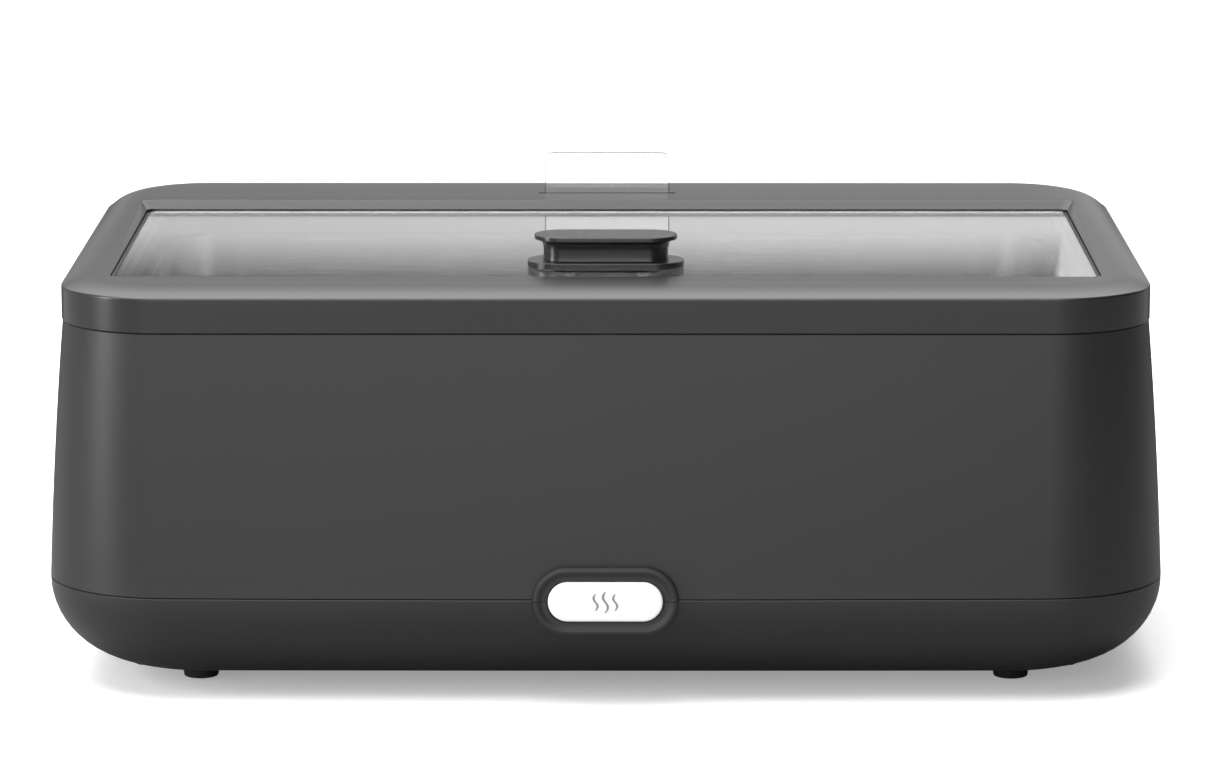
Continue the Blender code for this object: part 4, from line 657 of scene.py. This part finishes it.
def make_seal():
    """A hollow-lipped rubber seal under the lid."""
    middle, low_corner, high_corner = middle_of("lid_seal")
    half = (high_corner - low_corner) / 2
    low, high = low_corner.z, high_corner.z
    profile = ((1.0, high, 0.0), (0.0, high, -1.0), (0.0, low, 3.4), (0.5, low, 2.6), (0.3, low, 1.2),
               (1.4, low, 0.25), (2.6, low, 0.0), (4.8, low, 0.0), (6.0, low, 0.25), (7.1, low, 1.2),
               (6.9, low, 2.6), (7.4, low, 3.4), (7.4, high, -1.0), (6.4, high, 0.0))
    rings = [ring_at(rounded_outline(half.x - inset * MM, half.y - inset * MM, (44 - inset) * MM, middle.y),
                     level + rise * MM) for inset, level, rise in profile]
    finished(skin(rings + rings[:1], closed=True), "lid_seal_ring", RUBBER, "lid", "rubber", "lid_seal")


def stadium(length, width, z):
    """A level outline of the handle, round at both ends."""
    return ring_at(rounded_outline(length / 2, width / 2, width * 0.495, HANDLE_Y, side_steps=6), z)


def make_handle():
    """A flat flange, and a waisted neck that flares into a thin cap."""
    base_low, base_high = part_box("handle_base")
    rings = [stadium(FLANGE_LENGTH - 2 * inset, FLANGE_WIDTH - 2 * inset, z) for inset, z in
             [(0.4 * MM, base_low.z), (0.0, base_low.z + 0.4 * MM), (0.0, base_low.z + 0.5 * MM)]
             + arc((0, base_high.z - 0.5 * MM), (0.6 * MM, base_high.z), 4)]
    finished(skin(rings), "handle_flange", HANDLE_PLASTIC, "lid", "handle_plastic", "handle_base")
    low, high = HANDLE_LOW.z, HANDLE_HIGH.z
    cap_low = high - CAP_HEIGHT
    rings = []
    for step in range(HANDLE_STEPS + 1):
        share = step / HANDLE_STEPS
        flare = 0.05 * (1 - share) ** 8 + 0.62 * share ** 7    # small at the foot, full under the cap
        rings.append(stadium(NECK_LENGTH + flare * (CAP_LENGTH - NECK_LENGTH),
                             NECK_WIDTH + flare * (CAP_WIDTH - NECK_WIDTH), low + share * (cap_low - low)))
    rings += [stadium(CAP_LENGTH - 2 * inset, CAP_WIDTH - 2 * inset, z) for inset, z in
              ((0.3 * MM, cap_low), (0.0, cap_low + 0.3 * MM), (0.0, high - 0.45 * MM),
               (0.13 * MM, high - 0.13 * MM), (0.45 * MM, high), (3.0 * MM, high), (6.0 * MM, high))]
    finished(skin(rings), "handle_knob", HANDLE_PLASTIC, "lid", "handle_plastic", "handle_grip")


def make_label_holder():
    """A clear upright plate with rounded corners, which lifts out of its slot."""
    half = (LABEL_HIGH - LABEL_LOW) / 2
    edge = ((0.75, 0.0), (0.35, 0.1), (0.1, 0.35), (0.0, 0.75))
    steps = [(inset * MM, LABEL_LOW.y + depth * MM) for inset, depth in edge]
    steps += [(inset * MM, LABEL_HIGH.y - depth * MM) for inset, depth in reversed(edge)]
    rings = [oval(half.x - inset, half.z - inset, 5 * MM - inset, y, (LABEL_LOW.z + LABEL_HIGH.z) / 2, 4)
             for inset, y in steps]
    plate = finished(skin(rings), "label_plate", ACRYLIC, "label", "clear_acrylic", "label_holder",
                     crease=20)
    plate.data.materials.append(ACRYLIC_RIM_SHADE)
    for face in plate.data.polygons:
        if abs(face.normal.y) < 0.98:
            face.material_index = 1    # its rounded rim, tinted darker as painted shade


# ---- casing ------------------------------------------------------
def wall(z, inset=0.0):
    """The casing wall's outline at a height: tapered, slightly crowned, bowed at front and rear."""
    share = (z - LOWER_SEAM_Z) / (SEAM_Z - LOWER_SEAM_Z)
    crown = CROWN * 4 * share * (1 - share)
    half_x = SHELL_HALF_X + (1 - share) * (BELLY_HALF_X - SHELL_HALF_X) + crown - inset
    half_y = SHELL_HALF_Y + (1 - share) * (BELLY_HALF_Y - SHELL_HALF_Y) + crown - inset
    radius = BELLY_CORNER + share * (LID_CORNER - BELLY_CORNER) - inset
    return rounded_outline(half_x, half_y, radius, 0.0, FRONT_BOW * (1 - share))


def boss(low_z, high_z):
    """The oval boss round the badge, cut off at two heights."""
    profile = ((0.0, 12.0), (0.0, 1.9), (0.12, 1.2), (0.45, 0.6), (1.6, 0.1), (2.3, 0.0), (2.9, 0.15),
               (4.9, 1.1), (5.2, 1.15), (7.2, 1.15), (7.45, 1.35), (7.5, 2.4))
    rings = []
    for inset, depth in profile:
        half_z = BOSS_HALF_Z - inset * MM
        rings.append(oval(BOSS_HALF_X - inset * MM, half_z, half_z * 0.995, BOSS_FACE_Y + depth * MM,
                          LOWER_SEAM_Z))
    mesh = skin(rings)
    for z, up in ((low_z, -1), (high_z, 1)):
        cut = bmesh.ops.bisect_plane(mesh, geom=mesh.verts[:] + mesh.edges[:] + mesh.faces[:],
                                     dist=0.001 * MM, plane_co=(0, 0, z), plane_no=(0, 0, up),
                                     clear_outer=True)
        edge = [item for item in cut["geom_cut"] if isinstance(item, bmesh.types.BMEdge)]
        if edge:
            bmesh.ops.holes_fill(mesh, edges=edge, sides=0)
    bmesh.ops.recalc_face_normals(mesh, faces=mesh.faces)
    return mesh


def make_shell():
    """The upper casing: wall, deck round the water pan, opening for the panel, hinge pads and boss."""
    low, high = LOWER_SEAM_Z + SEAM_GAP, SHELL_TOP_Z
    rings = [ring_at(wall(low, EDGE_BREAK), low), ring_at(wall(low), low + EDGE_BREAK)]
    levels = [low + (high - low) * step / SHELL_LEVELS for step in range(1, SHELL_LEVELS)]
    rings += [ring_at(wall(z), z) for z in levels]
    rings += [ring_at(wall(high), high - EDGE_BREAK), ring_at(wall(high, EDGE_BREAK), high),
              ring_at(wall(high, WALL), high), ring_at(wall(high, WALL), DECK_Z)]
    opening = rounded_outline(DECK_HALF_X, DECK_HALF_Y, DECK_CORNER)
    rings += [ring_at(opening, DECK_Z), ring_at(opening, DECK_Z - WALL),
              ring_at(wall(DECK_Z - WALL, WALL), DECK_Z - WALL),
              ring_at(wall((low + high) / 2, WALL), (low + high) / 2), ring_at(wall(low, WALL), low)]
    shell = skin(rings + rings[:1], closed=True)
    middle_z = (PANEL_LOW.z + PANEL_HIGH.z) / 2
    hole = brick((-HOLE_HALF_X, 180 * MM, middle_z - HOLE_HALF_Z),
                 (HOLE_HALF_X, 215 * MM, middle_z + HOLE_HALF_Z))
    shell = carve(shell, [hole], "shell")
    for where in ("left", "right"):
        pad_low, pad_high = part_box("hinge_bracket_" + where)
        add(shell, brick((pad_low.x - WALL, 184 * MM, pad_low.z - 2 * WALL),
                         (pad_high.x + WALL, pad_low.y - 0.3 * MM, SHELL_TOP_Z - 0.3 * MM), 1.2 * MM, 3))
    add(shell, boss(LOWER_SEAM_Z + SEAM_GAP, LOWER_SEAM_Z + 2 * BOSS_HALF_Z))
    finished(shell, "casing_shell", CASING, "casing", "casing_plastic", "body_shell")


def tray_ring(turn, inset=0.0, lift=0.0):
    """The tray's section at an angle round its elliptical underside."""
    top = LOWER_SEAM_Z - SEAM_GAP
    share = 1 - math.cos(turn)
    draw = (UNDERCUT - inset / 2) * share + inset
    radius = BELLY_CORNER - inset + share * (UNDER_CORNER - BELLY_CORNER)
    return ring_at(rounded_outline(BELLY_HALF_X - draw, BELLY_HALF_Y - draw, radius, 0.0,
                                   FRONT_BOW * math.cos(turn)),
                   top - (top - TRAY_FLOOR_Z - lift) * math.sin(turn))


def make_tray():
    """The lower casing, with screw posts inside that open through its floor."""
    top = LOWER_SEAM_Z - SEAM_GAP
    turns = [math.radians(90 * step / TRAY_STEPS) for step in range(TRAY_STEPS + 1)]
    rings = [tray_ring(turn, WALL, WALL) for turn in reversed(turns[::4])]
    rings.append(ring_at(rounded_outline(BELLY_HALF_X - EDGE_BREAK, BELLY_HALF_Y - EDGE_BREAK,
                                         BELLY_CORNER - EDGE_BREAK, 0.0, FRONT_BOW), top))
    rings.append(ring_at(rounded_outline(BELLY_HALF_X, BELLY_HALF_Y, BELLY_CORNER, 0.0, FRONT_BOW),
                         top - EDGE_BREAK))
    rings += [tray_ring(turn) for turn in turns[1:]]
    tray = skin(rings)
    wells = [upright_turned([(0, 0), (4.2, 0), (4.2, 52), (0, 52)], x, y, 32) for x, y in POSTS]
    tray = carve(tray, wells, "tray")
    for x, y in POSTS:
        add(tray, upright_turned([(4.2, 12), (5.5, 20), (5.5, 71.7), (2.4, 71.7), (2.4, 61.7), (4.2, 61.7),
                                  (4.2, 12)], x, y, 32))
    add(tray, boss(LOWER_SEAM_Z - 2 * BOSS_HALF_Z, LOWER_SEAM_Z - SEAM_GAP))
    finished(tray, "tray_shell", CASING, "casing", "casing_plastic", "base_tray")


def heat_wave(x, z_low, z_high, y, width, sway):
    """One upright wavy stroke: a short edge extruded along the wave, then thickened."""
    mesh = bmesh.new()
    steps = 28
    ends = [mesh.verts.new((x + side * width / 2, y, z_low)) for side in (-1, 1)]
    edge = mesh.edges.new(ends)
    for step in range(1, steps + 1):
        share = step / steps
        grown = bmesh.ops.extrude_edge_only(mesh, edges=[edge])["geom"]
        fresh = [item for item in grown if isinstance(item, bmesh.types.BMVert)]
        edge = next(item for item in grown if isinstance(item, bmesh.types.BMEdge)
                    and set(item.verts) == set(fresh))
        middle = sum((v.co for v in fresh), Vector()) / 2
        reach = Vector((x + sway * math.sin(share * math.tau), y, z_low + share * (z_high - z_low)))
        taper = 1 - 0.55 * abs(2 * share - 1) ** 3
        for v in fresh:
            v.co = reach + (v.co - middle).normalized() * width / 2 * taper
    bmesh.ops.solidify(mesh, geom=mesh.faces[:], thickness=0.12 * MM)
    bmesh.ops.recalc_face_normals(mesh, faces=mesh.faces)
    return mesh


def make_badge():
    """A plain white oval plate with a generic rising-heat mark."""
    half_x, half_z = (BADGE_HIGH.x - BADGE_LOW.x) / 2, (BADGE_HIGH.z - BADGE_LOW.z) / 2
    rings = []
    for inset, y in ((0.0, BADGE_HIGH.y), (0.0, BADGE_LOW.y + 0.9 * MM), (0.1 * MM, BADGE_LOW.y + 0.5 * MM),
                     (0.35 * MM, BADGE_LOW.y + 0.22 * MM), (0.8 * MM, BADGE_LOW.y + 0.06 * MM),
                     (1.5 * MM, BADGE_LOW.y)):
        rings.append(oval(half_x - inset, half_z - inset, (half_z - inset) * 0.995, y, LOWER_SEAM_Z))
    finished(skin(rings), "badge_plate_white", BADGE_WHITE, "casing", "badge_white", "badge_plate")
    mark = heat_wave(0.0, LOWER_SEAM_Z - 5.6 * MM, LOWER_SEAM_Z + 5.6 * MM, BADGE_LOW.y, 1.3 * MM, 1.3 * MM)
    for side in (-1, 1):
        add(mark, heat_wave(side * 5.2 * MM, LOWER_SEAM_Z - 4.4 * MM, LOWER_SEAM_Z + 4.4 * MM, BADGE_LOW.y,
                            1.2 * MM, 1.1 * MM))
    finished(mark, "badge_heat_mark", PRINT_GREY, "casing", "badge_white")


def make_feet():
    """Rubber feet with a bead round them and a recess for their screw."""
    for where in CORNERS:
        middle, _, high = middle_of("foot_" + where)
        top = high.z / MM
        profile = [(4.2, 4.3), (4.2, 0.3), (4.5, 0.0), (8.6, 0.0), (9.1, 0.2), (9.35, 0.7), (9.5, 1.6),
                   (9.6, 2.0), (9.45, 2.3), (9.65, 2.7), (10.3, top - 0.5), (10.5, top), (2.4, top),
                   (2.4, 4.3), (4.2, 4.3)]
        finished(upright_turned(profile, middle.x, middle.y, 56), "foot_" + where + "_rubber", RUBBER,
                 "casing", "rubber", "foot_" + where)


def cross_screw(node, body):
    """A pan-head screw seen from below, with its cross recess."""
    middle, low, high = middle_of(node)
    x, y, base, tip = middle.x, middle.y, low.z / MM, high.z / MM
    head = 2.4
    profile = [(0.0, base), (2.4, base + 0.1), (3.3, base + 0.5), (3.8, base + 1.3), (3.8, base + head),
               (2.0, base + head)]
    z = base + head
    while z < tip - 2 * THREAD:
        profile += [(1.65, z + THREAD / 2), (2.0, z + THREAD)]
        z += THREAD
    profile += [(1.2, tip), (0.0, tip)]
    blades = [brick((x - across, y - along, low.z - MM), (x + across, y + along, low.z + 1.2 * MM))
              for across, along in ((2.1 * MM, 0.35 * MM), (0.35 * MM, 2.1 * MM))]
    finished(carve(upright_turned(profile, x, y, 28), blades, node), node + "_cross", ZINC, body,
             "zinc_plated", node)


# ---- pans --------------------------------------------------------
def make_pan(node, name, corner, flange, floor_z):
    """A drawn steel pan with a rolled lip, a drafted wall and a rounded floor edge."""
    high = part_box(node)[1]
    half_x, half_y = high.x - flange, high.y - flange

    def ring(grow, z, radius):
        return ring_at(rounded_outline(half_x + grow, half_y + grow, radius + grow), z)

    def well(skin_in, top, floor, lip_radius):
        """Rings of one face of the sheet, from the floor's edge up to the lip."""
        turn_z = floor + PAN_FLOOR_ROUND
        rings = [ring(-skin_in - PAN_DRAFT - inset, z, corner)
                 for inset, z in reversed(arc((0, turn_z), (PAN_FLOOR_ROUND, floor), 7))]
        rise = top - lip_radius - turn_z
        rings += [ring(-skin_in - PAN_DRAFT * (1 - share), turn_z + rise * share, corner)
                  for share in (0.33, 0.66, 1.0)]
        rings += [ring(-skin_in + out, z, corner)
                  for out, z in arc((0, top - lip_radius), (lip_radius, top), 4)[1:]]
        return rings

    inside = well(SHEET, high.z, floor_z, PAN_LIP)
    outside = well(0.0, high.z - SHEET, floor_z - SHEET, PAN_LIP - SHEET)
    rim = [ring(flange - 0.3 * MM, high.z, corner), ring(flange, high.z - 0.3 * MM, corner),
           ring(flange, high.z - 0.7 * MM, corner), ring(flange - 0.3 * MM, high.z - SHEET, corner)]
    finished(skin(inside + rim + outside[::-1]), name, STEEL, "casing", "stainless", node)


# ---- rear fittings -----------------------------------------------
def make_knob():
    """A fluted thermostat knob with a pointer line."""
    face_y, out_y = KNOB_LOW.y, KNOB_HIGH.y
    radius = (KNOB_HIGH.x - KNOB_LOW.x) / 2

    def ring(inset, y, flute):
        points = []
        for step in range(KNOB_POINTS):
            turn = math.tau * step / KNOB_POINTS
            reach = radius - inset * MM - flute * MM * max(0.0, math.cos(turn * KNOB_FLUTES)) ** 2
            points.append(Vector((KNOB_X + reach * math.cos(turn), y, KNOB_Z + reach * math.sin(turn))))
        return points

    profile = ((0.5, face_y, 0.0, 0.0), (0.0, face_y, 0.5, 0.0), (0.0, face_y, 1.4, 0.0),
               (0.3, face_y, 1.8, 0.3), (0.6, out_y, -1.6, 0.7), (0.9, out_y, -0.7, 0.5),
               (1.5, out_y, -0.2, 0.1), (2.2, out_y, 0.0, 0.0), (4.5, out_y, 0.0, 0.0),
               (5.2, out_y, -0.4, 0.0))
    rings = [ring(inset, level + rise * MM, flute) for inset, level, rise, flute in profile]
    finished(skin(rings), "knob_fluted", HANDLE_PLASTIC, "knob", "handle_plastic", "thermostat_knob")
    pointer = brick((KNOB_X - 0.5 * MM, out_y - 0.6 * MM, KNOB_Z + 5 * MM),
                    (KNOB_X + 0.5 * MM, out_y - 0.05 * MM, KNOB_Z + radius - 2.0 * MM), 0.1 * MM)
    finished(pointer, "knob_pointer", PRINT_WHITE, "knob", "handle_plastic")


def make_dial_marks():
    """Plain tick marks round the knob, longer every third one."""
    face = PANEL_HIGH.y
    marks = bmesh.new()
    for step in range(DIAL_TICKS):
        turn = math.radians(90 - 270 * step / (DIAL_TICKS - 1))
        reach = 20.6 * MM if step % 3 else 21.6 * MM
        tick = brick((19.2 * MM, face, -0.25 * MM), (reach, face + 0.1 * MM, 0.25 * MM))
        bmesh.ops.rotate(tick, cent=(0, 0, 0), matrix=Matrix.Rotation(-turn, 3, "Y"), verts=tick.verts)
        bmesh.ops.translate(tick, vec=(KNOB_X, 0, KNOB_Z), verts=tick.verts)
        add(marks, tick)
    finished(marks, "dial_ticks", PRINT_WHITE, "casing", "fitting_plastic")


def make_lamp():
    """A domed amber lens with a collar."""
    middle, low, high = middle_of("pilot_lamp")
    out = high.y
    profile = [(0.0, out)]
    for turn in (math.radians(15 * step) for step in range(1, 7)):
        profile.append((4.6 * MM * math.sin(turn), out - 1.9 * MM * (1 - math.cos(turn))))
    profile += [(5.4 * MM, out - 2.2 * MM), (5.4 * MM, out - 2.4 * MM), (3.9 * MM, out - 2.4 * MM),
                (3.9 * MM, low.y), (0.0, low.y)]
    finished(turned(profile, (middle.x, 0, middle.z), (0, 1, 0), 40), "lamp_lens", AMBER, "casing",
             "amber_lens", "pilot_lamp")


def make_fittings():
    """Smaller nodes that keep their shape and only have their edges rounded."""
    refined("control_panel", 0.5 * MM, FITTING_PLASTIC, "casing", "fitting_plastic")
    refined("power_switch_housing", 0.35 * MM, FITTING_PLASTIC, "casing", "fitting_plastic")
    refined("power_inlet", 0.35 * MM, FITTING_PLASTIC, "casing", "fitting_plastic")
    refined("power_switch_rocker", 0.5 * MM, HANDLE_PLASTIC, "rocker", "handle_plastic", 3)
    for pin in ("live", "neutral", "earth"):
        refined("inlet_pin_" + pin, 0.3 * MM, ZINC, "casing", "zinc_plated")
    for where in ("left", "right"):
        refined("hinge_bracket_" + where, 0.25 * MM, ZINC, "casing", "zinc_plated")
        refined("hinge_leaf_" + where, 0.25 * MM, ZINC, "lid", "zinc_plated")
        refined("hinge_pin_" + where, 0.3 * MM, STEEL, "casing", "stainless")
    refined("lid_inner_frame", 0.4 * MM, LID_PLASTIC, "lid", "casing_plastic")
    refined("glass_gasket", 0.3 * MM, RUBBER, "lid", "rubber")
    refined("handle_backplate", 0.2 * MM, STEEL, "lid", "stainless")


def finish_hidden_nodes():
    """Better materials on the CAD nodes that stay as they are."""
    kept = {
        "heater_plate": ALUMINIUM, "heating_element": STEEL, "heater_clamp_left": ZINC,
        "heater_clamp_right": ZINC, "thermal_cutout": FITTING_PLASTIC, "insulation_mat": WOOL,
        "thermostat_body": FITTING_PLASTIC, "thermostat_shaft": ZINC, "wire_inlet_to_switch": WIRE_BROWN,
        "wire_switch_to_thermostat": WIRE_BROWN, "wire_thermostat_to_cutout": WIRE_BROWN,
        "wire_neutral": WIRE_BLUE, "wire_earth": WIRE_GREEN}
    for node, material in kept.items():
        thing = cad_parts[node]
        thing.data.materials.clear()
        thing.data.materials.append(material)


# ---- studio ------------------------------------------------------
def seen_directly(tree):
    """1 for rays from the camera, also through clear pieces, and 0 for all others."""
    rays = tree.nodes.new("ShaderNodeLightPath")
    return sum_of(tree, rays.outputs["Is Camera Ray"], rays.outputs["Is Transmission Ray"], "MAXIMUM")


def separate(tree, output):
    """A coordinate's three parts."""
    place = tree.nodes.new("ShaderNodeTexCoord")
    split = tree.nodes.new("ShaderNodeSeparateXYZ")
    tree.links.new(place.outputs[output], split.inputs["Vector"])
    return split.outputs


def make_floor():
    """White paper to the camera, which throws less light back than it shows."""
    mesh = bmesh.new()
    bmesh.ops.create_grid(mesh, x_segments=2, y_segments=2, size=12.0)
    bmesh.ops.translate(mesh, vec=(0, 0, -0.2 * MM), verts=mesh.verts)
    floor = as_object(mesh, "studio_floor")
    material, tree, shader, vector = new_material("studio_floor", Specular_IOR_Level=0.1, Roughness=0.8)
    paper = blend(tree, noise(tree, vector, 3.0, 2.0), grey(0.92), grey(0.96))
    seen = seen_directly(tree)
    tree.links.new(blend(tree, seen, grey(FLOOR_BOUNCE), paper), shader.inputs["Base Color"])
    shader.inputs["Emission Color"].default_value = grey(1.0)
    tree.links.new(product(tree, seen, FLOOR_LIFT), shader.inputs["Emission Strength"])
    floor.data.materials.append(material)


def make_card():
    """A graded white card behind and above the warmer, which the lid's glass mirrors."""
    mesh = bmesh.new()
    bmesh.ops.create_grid(mesh, x_segments=2, y_segments=2, size=0.5)
    bmesh.ops.scale(mesh, vec=(CARD_WIDTH, CARD_TOP_Z - CARD_LOW_Z, 1.0), verts=mesh.verts)
    bmesh.ops.rotate(mesh, cent=(0, 0, 0), matrix=Matrix.Rotation(math.radians(90), 3, "X"),
                     verts=mesh.verts)
    bmesh.ops.translate(mesh, vec=(0, CARD_Y, (CARD_TOP_Z + CARD_LOW_Z) / 2), verts=mesh.verts)
    card = as_object(mesh, "studio_card")
    material = bpy.data.materials.new("studio_card")
    material.use_nodes = True
    tree = material.node_tree
    tree.nodes.remove(tree.nodes["Principled BSDF"])
    glow = tree.nodes.new("ShaderNodeEmission")
    place = separate(tree, "Object")
    rise = span(tree, place["Z"], CARD_BRIGHT_Z, CARD_DIM_Z, CARD_BRIGHT, CARD_DIM)
    left = span(tree, place["X"], -0.45, 0.1, 0.80, 1.0)
    side = span(tree, place["X"], CARD_EDGE_X - 0.004, CARD_EDGE_X + 0.004, 0.0, 0.98)
    side = product(tree, side, span(tree, place["Z"], 0.42, 0.46, 1.0, 0.0))
    above = span(tree, place["Z"], CARD_RISE_Z, CARD_FULL_Z, 0.0, CARD_FULL)
    low = sum_of(tree, product(tree, rise, left), side, "MAXIMUM")
    tree.links.new(sum_of(tree, low, above), glow.inputs["Strength"])
    output = next(node for node in tree.nodes if node.type == "OUTPUT_MATERIAL")
    tree.links.new(glow.outputs["Emission"], output.inputs["Surface"])
    card.data.materials.append(material)
    card.visible_camera = card.visible_diffuse = card.visible_shadow = False


def make_flags():
    """Dark upright flags behind the warmer on both sides, seen only in its gloss."""
    material = bpy.data.materials.new("studio_flag")
    material.use_nodes = True
    material.node_tree.nodes["Principled BSDF"].inputs["Base Color"].default_value = grey(0.01)
    for name, side in (("left", -1), ("right", 1)):
        flag = as_object(brick((side * FLAG_X - MM, 0.22, 0.0), (side * FLAG_X + MM, 1.7, FLAG_HEIGHT)),
                         "studio_flag_" + name)
        flag.data.materials.append(material)
        flag.visible_camera = flag.visible_diffuse = False
        flag.visible_transmission = flag.visible_shadow = False


def make_world():
    """Soft surrounding light, strong from the left and weak on the right; white to the camera."""
    world = bpy.data.worlds.new("studio")
    bpy.context.scene.world = world
    world.use_nodes = True
    tree = world.node_tree
    back = tree.nodes["Background"]
    side = span(tree, separate(tree, "Generated")["X"], -0.75, 0.75, WORLD_LEFT, WORLD_RIGHT)
    tree.links.new(span(tree, seen_directly(tree), 0.0, 1.0, side, WORLD_SEEN), back.inputs["Strength"])
    back.inputs["Color"].default_value = grey(1.0)


def make_lights():
    """Soft boxes: power, width and height, place, and the height on the z axis that each is aimed at."""
    for name, energy, wide, high, place, aim_z in (
            ("left_strip", 36.0, 0.45, 1.6, (-2.2, -1.0, 0.8), 0.12),
            ("top_rear", 72.0, 3.2, 3.2, (-0.2, 1.8, 2.2), 0.15),
            ("top_front", 88.0, 2.6, 2.0, (-0.4, -0.5, 2.5), 0.12),
            ("front_fill", 42.0, 3.0, 2.0, (-0.3, -3.6, 0.9), 0.12)):
        light = bpy.data.lights.new(name, "AREA")
        light.energy = energy
        light.shape = "RECTANGLE"
        light.size = wide
        light.size_y = high
        lamp = bpy.data.objects.new(name, light)
        lamp.location = place
        lamp.rotation_euler = (Vector((0, 0, aim_z)) - Vector(place)).to_track_quat("-Z", "Y").to_euler()
        bpy.context.scene.collection.objects.link(lamp)


def make_camera():
    """A long lens from well in front and a little above."""
    data = bpy.data.cameras.new("view")
    data.lens, data.sensor_width, data.clip_start = CAMERA_LENS, 36.0, 0.05
    camera = bpy.data.objects.new("view", data)
    camera.location = CAMERA_PLACE
    camera.rotation_euler = (Vector(CAMERA_AIM) - camera.location).to_track_quat("-Z", "Y").to_euler()
    bpy.context.scene.collection.objects.link(camera)
    bpy.context.scene.camera = camera


make_camera()
make_lid()
make_glass()
make_seal()
make_handle()
make_label_holder()
make_shell()
make_tray()
make_badge()
make_feet()
for where in CORNERS:
    cross_screw("foot_screw_" + where, "casing")
    cross_screw("case_screw_" + where, "casing")
for where in ("left", "right"):
    cross_screw("handle_screw_" + where, "lid")
make_pan("food_pan", "food_pan_drawn", 45 * MM, 11 * MM, 134.6 * MM)
make_pan("water_pan", "water_pan_drawn", 48 * MM, 13 * MM, 95.3 * MM)
make_knob()
make_dial_marks()
make_lamp()
make_fittings()
finish_hidden_nodes()
make_floor()
make_card()
make_flags()
make_world()
make_lights()
bpy.context.scene.view_settings.view_transform = "Standard"
